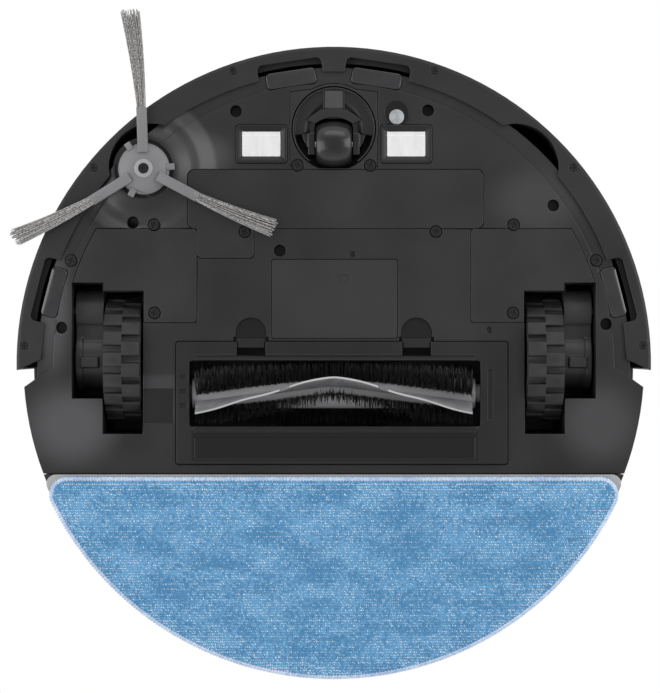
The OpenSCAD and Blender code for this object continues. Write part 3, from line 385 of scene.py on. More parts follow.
SLOT_OF = {row["node"]: row["material_slot"] for row in frame["record"]["subparts"]}
FINISH_OF = {
    "housing_plastic": "cover", "bumper_plastic": "bumper", "black_plastic": "black",
    "window_plastic": "window", "screw_steel": "screw", "bright_steel": "steel",
    "castor_plastic": "castor", "contact_plate": "contact", "lens_plastic": "lens",
    "label_film": "label", "arm_plastic": "arm", "motor_metal": "can", "tyre_rubber": "tyre",
    "brush_plastic": "grey", "side_bristle": "side_bristle", "blade_silicone": "blade",
    "brush_bristle": "bristle", "tank_plastic": "tank", "plug_rubber": "plug",
    "plate_plastic": "plate", "mop_cloth": "terry", "bin_plastic": "bin", "filter_media": "paper",
    "impeller_plastic": "grey", "board_laminate": "board", "battery_wrap": "wrap",
    "button_plastic": "button",
}
SPECIAL = {
    "base_housing": "underside", "top_housing": "deck", "lid": "deck", "castor_fork": "castor",
    "left_contact_bezel": "bezel", "right_contact_bezel": "bezel", "lidar_cage": "deck",
    "brush_core": "core", "brush_guard": "guard",
}


def finish_of(node):
    """The finish of a node: its own, or else its slot's."""
    return FINISH[SPECIAL.get(node) or FINISH_OF[SLOT_OF[node]]]


for node_name, node_object in frame["nodes"].items():
    node_object.data.materials.clear()
    node_object.data.materials.append(finish_of(node_name))


# ---------------------------------------------------------------- making and placing pieces

def new_object(name, mesh, material):
    mesh.materials.clear()
    mesh.materials.append(material)
    made = bpy.data.objects.new(name, mesh)
    bpy.context.scene.collection.objects.link(made)
    return made


def settle(piece, body, slot, *nodes):
    """Rides the finished piece on its body and hides the nodes it stands for. The slot is not used."""
    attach(piece, body)
    if nodes:
        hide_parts(*nodes)


def baked(source, name, material):
    """The evaluated object as a plain mesh in a new object; the source is removed."""
    bpy.context.view_layer.update()
    evaluated = source.evaluated_get(bpy.context.evaluated_depsgraph_get())
    mesh = bpy.data.meshes.new_from_object(evaluated)
    mesh.name = name
    bpy.data.objects.remove(source)
    return new_object(name, mesh, material)


def eased(node, width):
    """A copy of a CAD node, merged and with its edges rounded, which stands for it."""
    source = frame["nodes"][node]
    mesh = source.data.copy()
    work = bmesh.new()
    work.from_mesh(mesh)
    bmesh.ops.remove_doubles(work, verts=work.verts, dist=0.002 * MM)
    work.to_mesh(mesh)
    work.free()
    mesh.shade_smooth()
    holder = new_object("copy_of_" + node, mesh, finish_of(node))
    edge = holder.modifiers.new("edge", "BEVEL")
    edge.width = width
    edge.segments = 2
    edge.limit_method = "ANGLE"
    edge.angle_limit = math.radians(35)
    edge.use_clamp_overlap = False
    edge.loop_slide = False
    edge.harden_normals = node not in FLAT
    if node in FLAT:
        normals = holder.modifiers.new("normals", "WEIGHTED_NORMAL")
        normals.weight = 100
        normals.keep_sharp = True
    piece = baked(holder, node + "_eased", finish_of(node))
    settle(piece, BODY_OF[node], SLOT_OF[node], node)


def tree_with(name, sizes):
    """A geometry node tree with a Geometry input, the named float, integer or material inputs, and an output."""
    tree = bpy.data.node_groups.new(name, "GeometryNodeTree")
    tree.interface.new_socket("Geometry", in_out="INPUT", socket_type="NodeSocketGeometry")
    for socket, kind in sizes.items():
        tree.interface.new_socket(socket, in_out="INPUT", socket_type="NodeSocket" + kind)
    tree.interface.new_socket("Geometry", in_out="OUTPUT", socket_type="NodeSocketGeometry")
    return tree, tree.nodes.new("NodeGroupInput").outputs


def close_tree(tree, geometry, material):
    """Ends a tree in Realize Instances and Set Material."""
    real = add(tree, "GeometryNodeRealizeInstances", {0: geometry})
    smooth = add(tree, "GeometryNodeSetShadeSmooth", {0: real.outputs[0]})
    dressed = add(tree, "GeometryNodeSetMaterial", {0: smooth.outputs[0], "Material": material})
    add(tree, "NodeGroupOutput", {0: dressed.outputs[0]})


def strand_tree():
    """Turns every edge chain into a round strand."""
    tree, given = tree_with("strands", {"Radius": "Float", "Sides": "Int", "Material": "Material"})
    line = add(tree, "GeometryNodeMeshToCurve", {0: given["Geometry"]})
    ring = add(tree, "GeometryNodeCurvePrimitiveCircle",
               {"Resolution": given["Sides"], "Radius": given["Radius"]})
    tube = add(tree, "GeometryNodeCurveToMesh", {0: line.outputs[0], 1: ring.outputs[0], "Fill Caps": True})
    close_tree(tree, tube.outputs[0], given["Material"])
    return tree


def loop_tree():
    """Stands a small arched loop on every point, turned and sized a little at random."""
    sizes = {"Height": "Float", "Thickness": "Float", "Turn": "Float", "Seed": "Int", "Material": "Material"}
    tree, given = tree_with("pile_loops", sizes)
    arc = add(tree, "GeometryNodeCurveArc",
              {"Resolution": 4, "Radius": given["Height"], "Start Angle": 0.0, "Sweep Angle": math.pi},
              mode="RADIUS")
    stand = add(tree, "GeometryNodeTransform", {0: arc.outputs[0], "Rotation": (-math.pi / 2, 0, 0)})
    ring = add(tree, "GeometryNodeCurvePrimitiveCircle", {"Resolution": 3, "Radius": given["Thickness"]})
    loop = add(tree, "GeometryNodeCurveToMesh", {0: stand.outputs[0], 1: ring.outputs[0]})
    low = add(tree, "ShaderNodeMath", {0: given["Turn"], 1: -1.0}, operation="MULTIPLY").outputs[0]
    lean_low = add(tree, "ShaderNodeCombineXYZ", {0: -0.5, 1: -0.5, 2: low}).outputs[0]
    lean_high = add(tree, "ShaderNodeCombineXYZ", {0: 0.5, 1: 0.5, 2: given["Turn"]}).outputs[0]
    turn = add(tree, "FunctionNodeRandomValue", {0: lean_low, 1: lean_high, "Seed": given["Seed"]},
               data_type="FLOAT_VECTOR").outputs[0]
    least, most = (0.8, 0.8, 0.75), (1.2, 1.2, 1.15)
    grow = add(tree, "FunctionNodeRandomValue", {0: least, 1: most, "Seed": given["Seed"]},
               data_type="FLOAT_VECTOR").outputs[0]
    placed = add(tree, "GeometryNodeInstanceOnPoints",
                 {"Points": given["Geometry"], "Instance": loop.outputs[0], "Rotation": turn, "Scale": grow})
    close_tree(tree, placed.outputs[0], given["Material"])
    return tree


TREES = {"strands": strand_tree(), "loops": loop_tree()}


def grown(name, tree, points, edges, material, **sizes):
    """Runs a geometry node tree over points and edges, and keeps the result as a plain mesh."""
    mesh = bpy.data.meshes.new(name + "_guide")
    mesh.from_pydata([tuple(p) for p in points], edges, [])
    guide = new_object(name + "_guide", mesh, material)
    modifier = guide.modifiers.new("grow", "NODES")
    modifier.node_group = TREES[tree]
    given = {**sizes, "Material": material}
    for item in TREES[tree].interface.items_tree:
        if item.in_out == "INPUT" and item.name in given:
            modifier[item.identifier] = given[item.name]
    return baked(guide, name, material)


def chains(lines):
    """Points and edges of a list of open point lines."""
    points, edges = [], []
    for line in lines:
        first = len(points)
        points.extend(line)
        edges.extend((first + i, first + i + 1) for i in range(len(line) - 1))
    return points, edges


def mesh_piece(name, points, faces, material):
    """A closed or open piece from its points and faces, merged and with its faces outwards."""
    mesh = bpy.data.meshes.new(name)
    mesh.from_pydata([tuple(p) for p in points], [], faces)
    work = bmesh.new()
    work.from_mesh(mesh)
    bmesh.ops.remove_doubles(work, verts=work.verts, dist=0.001 * MM)
    bmesh.ops.recalc_face_normals(work, faces=work.faces)
    work.to_mesh(mesh)
    work.free()
    made = new_object(name, mesh, material)
    mesh.shade_smooth()
    mesh.set_sharp_from_angle(angle=math.radians(40))
    return made


# ---------------------------------------------------------------- hard parts with rounded edges

# Width of the rounded edges, in mm
EDGE = {
    "bumper": 0.4, "left_wheel_cover": 0.25, "right_wheel_cover": 0.25, "battery_cover": 0.25,
    "castor_socket": 0.25, "castor_fork": 0.4,
    "left_charge_contact": 0.15, "right_charge_contact": 0.15,
    "cliff_windows": 0.25, "floor_sensor_lens": 0.3, "left_arm": 0.6, "right_arm": 0.6,
    "left_wheel_hub": 0.3, "right_wheel_hub": 0.3, "left_tyre": 0.25, "right_tyre": 0.25,
    "side_brush_hub": 0.3, "side_brush_screw": 0.12, "housing_screws": 0.12, "bumper_screws": 0.1,
    "brush_guard": 0.3, "left_latch": 0.3, "right_latch": 0.3, "water_tank": 0.6,
    "lid": 0.4, "lidar_cage": 0.6, "lidar_rotor": 0.4, "power_button": 0.4, "home_button": 0.4,
    "top_housing": 0.5, "dust_bin": 0.3, "base_housing": 0.25, "brush_core": 0.3,
    "bumper_window": 0.15, "rating_label": 0.1,
}
# Nodes whose large flat faces must stay flat in the light
FLAT = {
    "base_housing", "bumper", "left_wheel_cover", "right_wheel_cover", "battery_cover", "rating_label",
    "brush_guard", "castor_socket", "castor_fork", "left_charge_contact", "right_charge_contact",
    "left_arm", "right_arm", "left_latch", "right_latch", "top_housing", "lid", "water_tank",
}
for node_name, width in EDGE.items():
    eased(node_name, width * MM)


# ---------------------------------------------------------------- small mouldings

def lofted(name, rings, material, closed=True, caps=False):
    """Joins rings of equally many points with faces; closed rings meet at their ends."""
    size = len(rings[0])
    points = [point for ring in rings for point in ring]
    faces = []
    for level in range(len(rings) - 1):
        for k in range(size if closed else size - 1):
            a = level * size + k
            b = level * size + (k + 1) % size
            faces.append((a, b, b + size, a + size))
    if caps:
        faces.append(tuple(reversed(range(size))))
        faces.append(tuple((len(rings) - 1) * size + k for k in range(size)))
    return mesh_piece(name, points, faces, material)


def corner_ring(x, y, half_x, half_y, radius, z):
    """A rectangle with round corners at one height, in mm."""
    ring = []
    for quarter, (sx, sy) in enumerate(((1, 1), (-1, 1), (-1, -1), (1, -1))):
        for step in range(5):
            angle = math.radians(90 * quarter + 22.5 * step)
            ring.append(((x + sx * (half_x - radius) + radius * math.cos(angle)) * MM,
                         (y + sy * (half_y - radius) + radius * math.sin(angle)) * MM, z * MM))
    return ring


def ring_sector(centre, radius, z, first, last, step):
    """Points on a circle about a centre, all in mm and degrees."""
    return [((centre[0] + radius * math.cos(math.radians(a))) * MM,
             (centre[1] + radius * math.sin(math.radians(a))) * MM, z * MM) for a in range(first, last, step)]


# Section of a contact's frame in mm, from its outside over its rim and in: inset, corner radius, height
BEZEL_SECTION = (
    (0, 2, 12), (0, 2, 8.9), (0.3, 1.8, 8.5), (0.9, 1.4, 8.5), (1.3, 1.2, 8.62), (3.3, 0.9, 9.12),
    (3.6, 0.8, 9.3), (3.6, 0.8, 12),
)


def bezel_frames():
    """Funnel-shaped frames round the charging contacts: a proud rim that slopes in to the plate."""
    for node in ("left_contact_bezel", "right_contact_bezel"):
        low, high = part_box(node)
        x, y = centre_mm(node)
        half_x, half_y = (high[0] - low[0]) / 2 / MM, (high[1] - low[1]) / 2 / MM
        rings = [corner_ring(x, y, half_x - inset, half_y - inset, radius, z)
                 for inset, radius, z in BEZEL_SECTION]
        piece = lofted(node + "_frame", rings + rings[:1], FINISH["bezel"])
        settle(piece, "root", SLOT_OF[node], node)


def thumb_slopes():
    """Polished slopes in the D-shaped thumb recesses in front of both latches, in mm."""
    latch_x, middle_y, radius = 46, -8.3, 8.4
    front, back = -16.7, -5.0
    # height of the lower and the upper face at the front, and how much each falls on its way back
    faces = ((11.3, 1.3), (11.39, 0.0))
    for side in (-1, 1):
        outline = [(side * latch_x + radius * math.cos(math.radians(a)),
                    middle_y + radius * math.sin(math.radians(a))) for a in range(180, 361, 12)]
        outline += [(side * latch_x + radius, back), (side * latch_x - radius, back)]
        rings = [[(x * MM, y * MM, (top - fall * (y - front) / (back - front)) * MM) for x, y in outline]
                 for top, fall in faces]
        name = "thumb_slope_left" if side < 0 else "thumb_slope_right"
        settle(lofted(name, rings, FINISH["gloss"], caps=True), "root", SLOT_OF["base_housing"])


CASTOR_MM = (CASTOR.x / MM, CASTOR.y / MM)
# The castor's skirt in mm and degrees: finish, first and last angle, then radius and height along its section
SKIRT = {
    "castor_rim": ("cover", 126, 415, (
        (22.95, 11.4), (22.95, 9.5), (22.6, 9.2), (22.2, 9.2), (21.9, 9.6), (21.4, 11.2))),
    "castor_bowl": ("black", 170, 373, (
        (21.8, 9.8), (21.3, 10.7), (20.0, 10.85), (17.0, 10.6), (13.5, 10.25))),
}
# Its ribs in mm: finish, place across, half width, height of the lower face
RIBS = {
    "castor_rib_left": ("cover", -5.7, 0.4, 9.8),
    # the band is painted lighter than the rest of the fork: a painted sheen
    "castor_band": ("band", 0, 5.0, 10.0),
    "castor_rib_right": ("cover", 5.7, 0.4, 9.8),
}


def castor_skirt():
    """Dished skirt round the castor's fork: a rim and a bowl, both open where the wheel passes."""
    for name, (finish, first, last, section) in SKIRT.items():
        rings = [ring_sector(CASTOR_MM, radius, z, first, last, 3) for radius, z in section]
        piece = lofted(name, rings, FINISH[finish], closed=False)
        thick = piece.modifiers.new("thick", "SOLIDIFY")
        thick.thickness = 0.12 * MM
        settle(baked(piece, name, FINISH[finish]), "castor_fork", SLOT_OF["castor_fork"])


def castor_ribs():
    """Two thin ribs and the broad band between them, in front of the wheel, the band painted lighter as a painted
    sheen.
    """
    y, half_y, top, chamfer = CASTOR_MM[1] - 16.2, 5.0, 10.9, 0.15
    for name, (finish, x, half_x, low) in RIBS.items():
        rings = [corner_ring(x, y, half_x - inset, half_y - inset, 0.3, z)
                 for inset, z in ((0, top), (0, low + 0.2), (chamfer, low))]
        settle(lofted(name, rings, FINISH[finish], caps=True), "castor_fork", SLOT_OF["castor_fork"])


def castor_crescent():
    """The crescent at the front of the skirt, between two arcs in mm and degrees, with a small chamfer."""
    x, y = CASTOR_MM
    outer = ring_sector((x, y + 9.0), 20.4, 0, 222, 319, 2)
    inner = ring_sector((x, y + 10.6), 16.9, 0, 232, 309, 2)
    edge = [Vector(point) for point in outer + inner[::-1]]
    centre = sum(edge, Vector()) / len(edge)
    rings = []
    for pull, z in ((0, 11.0), (0, 9.7), (0.012, 9.5)):
        ring = [point.lerp(centre, pull) for point in edge]
        rings.append([(point.x, point.y, z * MM) for point in ring])
    settle(lofted("castor_step", rings, FINISH["cover"], caps=True), "castor_fork", SLOT_OF["castor_fork"])


def castor_barrel():
    """The castor's barrel-shaped wheel, turned about its axle."""
    low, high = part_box("castor_wheel")
    axle = Vector(JOINTS["castor_roll"]["pos_m"])
    half, large = (high[0] - low[0]) / 2, (high[2] - low[2]) / 2
    # shares of half the width and of the radius, from the bore out to the flank and up to the crown
    side = [(1.0, 0.3), (1.0, 0.7), (0.975, 0.77), (0.88, 0.845), (0.7, 0.91), (0.5, 0.955), (0.25, 0.99)]
    section = [(-u, v) for u, v in side] + [(0.0, 1.0)] + side[::-1]
    rings = [[(axle.x + half * u, axle.y + large * v * math.cos(math.radians(a)),
               axle.z + large * v * math.sin(math.radians(a))) for a in range(0, 360, 5)] for u, v in section]
    piece = lofted("castor_barrel", rings, FINISH["castor"], caps=True)
    settle(piece, "castor_wheel", SLOT_OF["castor_wheel"], "castor_wheel")


def bumper_shelf():
    """The bumper's inner shelf, seen through the notches beside the cliff windows, in mm and degrees."""
    inner, outer, low, high = 167.6, 173.6, 14.4, 15.6
    section = ((inner, high), (outer, high), (outer, low), (inner, low), (inner, high))
    for k, (first, last) in enumerate(((-107, -72), (-175, -156), (-24, -4))):
        rings = [ring_sector((0, AXIS_Y / MM), radius, z, first, last, 1) for radius, z in section]
        shelf = lofted("bumper_shelf_%d" % k, rings, FINISH["bumper"], closed=False)
        settle(shelf, "bumper", SLOT_OF["bumper"])


# The side brush's cap: finish, then radius and height along its section, in mm
CAP = {
    "side_brush_ring": ("ring", (
        (2.95, 5.2), (2.95, 4.1), (3.2, 3.85), (4.9, 3.85), (5.2, 4.1), (5.2, 4.8))),
    "side_brush_cap": ("grey", (
        (4.8, 4.8), (5.2, 4.35), (6.5, 4.4), (8.5, 4.75), (10.5, 5.4), (12.3, 6.2), (13.7, 7.1), (14.3, 7.85))),
}


def hub_cap():
    """The side brush's domed cap: a raised ring round the screw, then a smooth dome."""
    for name, (finish, section) in CAP.items():
        rings = [ring_sector((HUB.x / MM, HUB.y / MM), radius, z, 0, 360, 5) for radius, z in section]
        settle(lofted(name, rings, FINISH[finish]), "side_brush", SLOT_OF["side_brush_hub"])


bezel_frames()
thumb_slopes()
castor_skirt()
castor_ribs()
castor_crescent()
castor_barrel()
bumper_shelf()
hub_cap()


# ---------------------------------------------------------------- side brush bristles

# The three bundles: direction and bend in degrees, reach of the tips from the hub's axis in mm
BUNDLES = ((28, -6, 79), (148, 6, 81), (-92, -5, 87))
# Where the filaments leave the stems, in mm from the hub's axis, their number and half the bundle's width there
BUNDLE_ROOT = 31
BUNDLE_COUNT = 90
BUNDLE_HALF = 2.2 * MM


def side_bristles():
    """Three bundles of nylon that leave the stems, fan out, bend a little and sink towards their tips."""
    random.seed(11)
    lines = []
    for angle, bend, reach in BUNDLES:
        base = math.radians(angle)
        for _ in range(BUNDLE_COUNT):
            side = random.uniform(-1, 1)
            up = random.uniform(-1, 1)
            length = (reach - BUNDLE_ROOT + random.uniform(-3.5, 1.5)) * MM
            fan = side * 0.05 + random.uniform(-0.015, 0.015)
            line = []
            for step in range(7):
                t = step / 6
                along = BUNDLE_ROOT * MM + length * t
                turn = math.radians(bend) * t * 0.55
                across = side * BUNDLE_HALF + fan * length * t
                flat = Matrix.Rotation(base + turn, 2) @ Vector((along, across))
                sink = (1.0 + 1.6 * t * t) * MM
                layer = up * (1.5 - 0.3 * t) * MM
                line.append((HUB.x + flat.x, HUB.y + flat.y, HUB.z - sink + layer))
            lines.append(line)
    points, edges = chains(lines)
    piece = grown("side_bristle_bundles", "strands", points, edges, FINISH["side_bristle"],
                  Radius=0.2 * MM, Sides=4)
    settle(piece, "side_brush", SLOT_OF["side_brush_bristles"], "side_brush_bristles")


side_bristles()


# ---------------------------------------------------------------- main brush

BLADE_LOW, BLADE_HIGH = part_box("brush_blades")
HALF = (BLADE_HIGH[0] - BLADE_LOW[0]) / 2
# Radius of the core, where blades and tufts are rooted
CORE = 8.3 * MM
# Where the blades stand about the axis, in degrees, and how many steps each takes along it
BLADE_ROWS = (0, 180)
BLADE_STEPS = 79
# Section of a blade: share of its height, thickness in mm
BLADE_SECTION = ((0.0, 1.8), (0.35, 1.2), (0.75, 0.9), (0.93, 1.3), (1.0, 1.0))
# Where the blade is cut down to part of its height, on both sides of the middle
NOTCH = (25 * MM, 29 * MM)
NOTCH_HEIGHT = 0.7
# Bristle rows: degrees from the blade's line, and how far their tips flare towards either side, in radians
TUFT_ROWS = ((34, -0.2, 0.2), (-36, -0.95, 0.1), (214, -0.2, 0.2), (144, -0.95, 0.1))
# Tufts in each row
TUFTS = 44


def sweep(x):
    """Angle of the chevron about the brush's axis, in radians, from straight below."""
    start, swing, soft = -31.0, 73.0, 5 * MM
    along = math.sqrt(x * x + soft * soft) - soft
    return math.radians(start + swing * along / HALF)


def on_brush(x, angle, radius):
    """A point at an angle and a distance about the brush's axis."""
    return Vector((x, BRUSH.y + radius * math.sin(angle), BRUSH.z - radius * math.cos(angle)))


def blades():
    """Silicone blades that sweep back to both ends, each in three lengths, thick at the root."""
    points, faces = [], []
    for row in BLADE_ROWS:
        start = math.radians(row)
        rings = []
        for i in range(BLADE_STEPS + 1):
            x = -HALF + 2 * HALF * i / BLADE_STEPS
            angle = sweep(x) + start
            low = NOTCH_HEIGHT if NOTCH[0] < abs(x) < NOTCH[1] else 1.0
            wave = 0.02 * math.sin(9 * math.pi * i / BLADE_STEPS + row)
            ring = []
            for side, section in ((1, BLADE_SECTION), (-1, BLADE_SECTION[::-1])):
                for height, thick in section:
                    radius = CORE + (TIP - CORE) * height * low
                    ring.append(on_brush(x, angle + wave * height + side * thick * MM / 2 / radius, radius))
            rings.append(ring)
        size = len(rings[0])
        first = len(points)
        for ring in rings:
            points.extend(ring)
        for i in range(BLADE_STEPS):
            for k in range(size):
                a = first + i * size + k
                b = first + i * size + (k + 1) % size
                faces.append((a, b, b + size, a + size))
        faces.append(tuple(first + k for k in range(size)))
        faces.append(tuple(first + BLADE_STEPS * size + k for k in reversed(range(size))))
    piece = mesh_piece("silicone_blades", points, faces, FINISH["blade"])
    settle(piece, "main_brush", SLOT_OF["brush_blades"], "brush_blades")


def brush_rows():
    """Chevron rows of black nylon tufts before and behind each blade."""
    random.seed(23)
    lines = []
    for row, least, most in TUFT_ROWS:
        for i in range(TUFTS):
            x = -HALF + 2 * HALF * (i + 0.5) / TUFTS
            for _ in range(int(22 + 34 * (most - least))):
                off_x = random.uniform(-1.5, 1.5) * MM
                angle = sweep(x) + math.radians(row) + random.uniform(-0.1, 0.1)
                flare = random.uniform(least, most)
                reach = TIP - random.uniform(0, 2.2) * MM
                lines.append([
                    on_brush(x + off_x * (1 + 0.6 * t), angle + flare * t, CORE + (reach - CORE) * t)
                    for t in (0.0, 0.5, 1.0)])
    points, edges = chains(lines)
    piece = grown("nylon_tufts", "strands", points, edges, FINISH["bristle"], Radius=0.17 * MM, Sides=3)
    settle(piece, "main_brush", SLOT_OF["brush_bristles"], "brush_bristles")


blades()
brush_rows()


# ---------------------------------------------------------------- mop pad

PAD_R = PAD_HIGH[1] - AXIS_Y
PAD_FRONT = PAD_LOW[1]
PAD_TOP = PAD_HIGH[2]
# Round front corners, and the steps that draw them and the front edge
CORNER = 10 * MM
CORNER_STEPS = 9
FRONT_STEPS = 60


def round_d(radius, front, corner, count=150):
    """A D-shaped outline about the body's axis, with round front corners."""
    y = front + corner
    x = math.sqrt((radius - corner) ** 2 - (y - AXIS_Y) ** 2)
    meet = math.atan2(y - AXIS_Y, x)
    line = []
    for i in range(count + 1):
        angle = meet + (math.pi - 2 * meet) * i / count
        line.append((radius * math.cos(angle), AXIS_Y + radius * math.sin(angle)))
    turn = math.pi / 2 + meet
    for i in range(1, CORNER_STEPS):
        angle = math.pi - meet + turn * i / CORNER_STEPS
        line.append((-x + corner * math.cos(angle), y + corner * math.sin(angle)))
    for i in range(FRONT_STEPS + 1):
        line.append((-x + 2 * x * i / FRONT_STEPS, front))
    for i in range(1, CORNER_STEPS):
        angle = -math.pi / 2 + turn * i / CORNER_STEPS
        line.append((x + corner * math.cos(angle), y + corner * math.sin(angle)))
    return line


def pad_outline(inset, count=150):
    """The outline of the pad at an inset."""
    return round_d(PAD_R - inset, PAD_FRONT + inset, max(CORNER - inset, 1.5 * MM), count)


def pad_body():
    """The padded body: a crowned closed form with rounded sides that rests flat on the floor."""
    # inset in mm, height in metres, from the top down the side and in under the pad
    levels = ((1.2, PAD_TOP), (0.5, PAD_TOP - 0.8 * MM), (0.3, PAD_TOP * 0.55), (1.0, 1.4 * MM),
              (2.6, 0.75 * MM), (6.0, 0.7 * MM), (14.0, 0.65 * MM), (30.0, 0.65 * MM))
    rings = [[(x, y, z) for x, y in pad_outline(inset * MM)] for inset, z in levels]
    piece = lofted("mop_pad_body", rings, FINISH["weave"], caps=True)
    settle(piece, "tank", SLOT_OF["mop_pad"], "mop_pad")


def plate_body():
    """The mop plate, with round front corners and a small round along its lower edge."""
    low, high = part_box("mop_plate")
    corner, proud = 5 * MM, 1.0 * MM
    # inset and height
    steps = ((0.0, high[2]), (0.0, low[2] + 0.5 * MM), (0.5 * MM, low[2]), (30 * MM, low[2]))
    rings = []
    for inset, z in steps:
        outline = round_d(high[1] - AXIS_Y + proud - inset, low[1] + inset, corner)
        rings.append([(x, y, z) for x, y in outline])
    piece = lofted("mop_plate_body", rings, FINISH["plate"], caps=True)
    settle(piece, "tank", SLOT_OF["mop_plate"], "mop_plate")


def inside_pad(x, y, inset):
    """Whether a point lies on the pad, away from its edge and its cut corners."""
    front = PAD_FRONT + inset
    if y < front or math.hypot(x, y - AXIS_Y) > PAD_R - inset:
        return False
    edge = math.sqrt((PAD_R - inset) ** 2 - (front - AXIS_Y) ** 2)
    return not (abs(x) > edge - CORNER * 0.8 and y < front + CORNER * 0.5)


# The pile: distance between rows and between loops, how far a loop strays, its height over the floor,
# and the share of pale loops in a pale row
PILE_ROW = 1.45 * MM
PILE_STEP = 1.1 * MM
PILE_STRAY = 0.16 * MM
PILE_Z = 1.25 * MM
PALE_SHARE = 0.93


def pad_pile():
    """The pile: rows of small loops, blue and pale rows in turn, in two halves to keep each piece small."""
    random.seed(5)
    kinds = {"blue_left": [], "blue_right": [], "pale_left": [], "pale_right": []}
    y, count = PAD_FRONT + 2.6 * MM, 0
    while y < AXIS_Y + PAD_R:
        pale_row = count % 2 == 1
        x = -PAD_R + random.uniform(0, PILE_STEP)
        while x < PAD_R:
            loop = (x + random.uniform(-PILE_STRAY, PILE_STRAY),
                    y + random.uniform(-PILE_STRAY, PILE_STRAY), PILE_Z)
            if inside_pad(loop[0], loop[1], 2.8 * MM):
                pale = pale_row and random.random() < PALE_SHARE
                kinds[("pale" if pale else "blue") + ("_left" if x < 0 else "_right")].append(loop)
            x += PILE_STEP
        y += PILE_ROW
        count += 1
    for kind, points in kinds.items():
        finish = FINISH["pale_terry" if kind.startswith("pale") else "terry"]
        piece = grown("mop_pile_" + kind, "loops", points, [], finish,
                      Height=0.56 * MM, Thickness=0.31 * MM, Turn=1.2, Seed=3)
        settle(piece, "tank", SLOT_OF["mop_pad"])


# The overlocked edge: its inset from the pad's outline, height of its middle, radius of the roll,
# radius of a stitch round it, distance between stitches and how far each stitch slants
BINDING_INSET = 1.6 * MM
BINDING_Z = 2.3 * MM
ROLL_R = 1.5 * MM
STITCH_R = 1.62 * MM
STITCH_PITCH = 1.7 * MM
STITCH_SLANT = 0.9 * MM


def pad_roll(outline):
    """A soft roll along the pad's outline."""
    size = len(outline)
    points = [(x, y, BINDING_Z) for x, y in outline]
    edges = [(i, (i + 1) % size) for i in range(size)]
    piece = grown("mop_binding", "strands", points, edges, FINISH["binding"], Radius=ROLL_R, Sides=8)
    settle(piece, "tank", SLOT_OF["mop_pad"])


def pad_stitches(outline):
    """A thread looped over the roll at an even spacing along the outline."""
    size = len(outline)
    lengths = [0.0]
    for i in range(size):
        lengths.append(lengths[-1] + math.dist(outline[i], outline[(i + 1) % size]))
    lines = []
    at, k = 0.0, 0
    while at < lengths[-1]:
        while lengths[k + 1] < at:
            k += 1
        a, b = Vector(outline[k]), Vector(outline[(k + 1) % size])
        t = (at - lengths[k]) / max(lengths[k + 1] - lengths[k], 1e-9)
        centre = a.lerp(b, t)
        along = (b - a).normalized()
        out = Vector((along.y, -along.x))
        line = []
        for step in range(9):
            angle = math.pi * (-0.15 + 1.3 * step / 8)
            flat = centre + out * (STITCH_R * math.cos(angle)) + along * (STITCH_SLANT * step / 8)
            line.append((flat.x, flat.y, BINDING_Z - STITCH_R * math.sin(angle)))
        lines.append(line)
        at += STITCH_PITCH
    points, edges = chains(lines)
    piece = grown("mop_stitches", "strands", points, edges, FINISH["binding"], Radius=0.28 * MM, Sides=4)
    settle(piece, "tank", SLOT_OF["mop_pad"])


pad_body()
plate_body()
pad_pile()
edge_line = pad_outline(BINDING_INSET, 300)
pad_roll(edge_line)
pad_stitches(edge_line)


# ---------------------------------------------------------------- camera, floor and light

def make_camera():
    """Straight below the robot, looking up, with the bumper at the top."""
    camera = bpy.data.objects.new("camera", bpy.data.cameras.new("camera"))
    bpy.context.scene.collection.objects.link(camera)
    camera.data.lens = 120.5
    camera.data.sensor_width = 36
    camera.location = (-2.1 * MM, -0.9 * MM, -1.281)
    camera.rotation_euler = (math.pi, 0, 0)
    camera.data.clip_start = 0.05
    camera.data.clip_end = 30
    bpy.context.scene.camera = camera


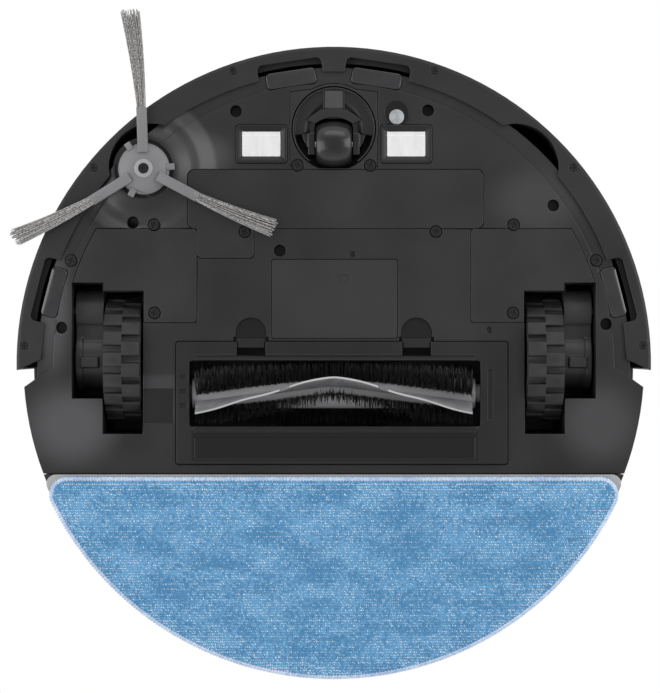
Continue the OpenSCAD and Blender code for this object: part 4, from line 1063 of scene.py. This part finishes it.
def floor_material():
    """Pale floor that is open to the eye from underneath."""
    material, tree, shader, place = start_material("pale_floor", 0.6)
    tint = noise(tree, place, 0.4, 2.0)
    tree.links.new(mix_colours(tree, tint, linear("#ededed"), linear("#f4f4f4")), shader.inputs["Base Color"])
    side = add(tree, "ShaderNodeNewGeometry").outputs["Backfacing"]
    clear = add(tree, "ShaderNodeBsdfTransparent")
    both = add(tree, "ShaderNodeMixShader", {0: side, 1: shader.outputs[0], 2: clear.outputs[0]})
    tree.links.new(both.outputs[0], tree.nodes["Material Output"].inputs["Surface"])
    return material


def make_floor():
    """A wide floor just under the pad that neither shades nor lights the robot."""
    half = 6.0
    mesh = bpy.data.meshes.new("floor")
    mesh.from_pydata([(-half, -half, 0), (half, -half, 0), (half, half, 0), (-half, half, 0)], [], [(0, 1, 2, 3)])
    floor = new_object("floor", mesh, floor_material())
    floor.location.z = -0.05 * MM
    floor.visible_shadow = False
    floor.visible_glossy = False
    floor.visible_diffuse = False
    floor.visible_transmission = False


def light(name, size, power, place):
    """A soft box turned towards the robot."""
    aim = Vector((0, 0, 0.02))
    lamp = bpy.data.lights.new(name, "AREA")
    lamp.shape = "RECTANGLE"
    lamp.size, lamp.size_y = size
    lamp.energy = power
    made = bpy.data.objects.new(name, lamp)
    made.location = place
    made.rotation_euler = (aim - Vector(place)).to_track_quat("-Z", "Y").to_euler()
    made.visible_camera = False
    bpy.context.scene.collection.objects.link(made)


def make_light():
    """Four soft boxes in a white studio, dimmer for what faces down."""
    world = bpy.data.worlds.new("studio")
    bpy.context.scene.world = world
    world.use_nodes = True
    tree = world.node_tree
    seen = add(tree, "ShaderNodeLightPath").outputs["Is Camera Ray"]
    sky = add(tree, "ShaderNodeTexCoord").outputs["Generated"]
    way = add(tree, "ShaderNodeSeparateXYZ", {0: sky}).outputs[2]
    below = spread(tree, way, -0.9, -0.2, 0.42, 1.0)
    lit = mix_colours(tree, below, (0, 0, 0, 1), (1, 1, 1, 1))
    shade = mix_colours(tree, seen, lit, (1, 1, 1, 1))
    background = tree.nodes["Background"]
    tree.links.new(shade, background.inputs["Color"])
    background.inputs["Strength"].default_value = 1.0
    light("left_box", (1.2, 1.6), 11, (-1.25, 0.15, -0.75))
    light("right_box", (1.0, 1.4), 9, (1.3, -0.25, -0.8))
    light("front_box", (1.6, 0.6), 5, (0.1, -1.4, -0.9))
    light("top_box", (1.8, 1.8), 22, (0.5, -0.9, 1.9))


make_camera()
make_floor()
make_light()
bpy.context.scene.view_settings.view_transform = "Standard"
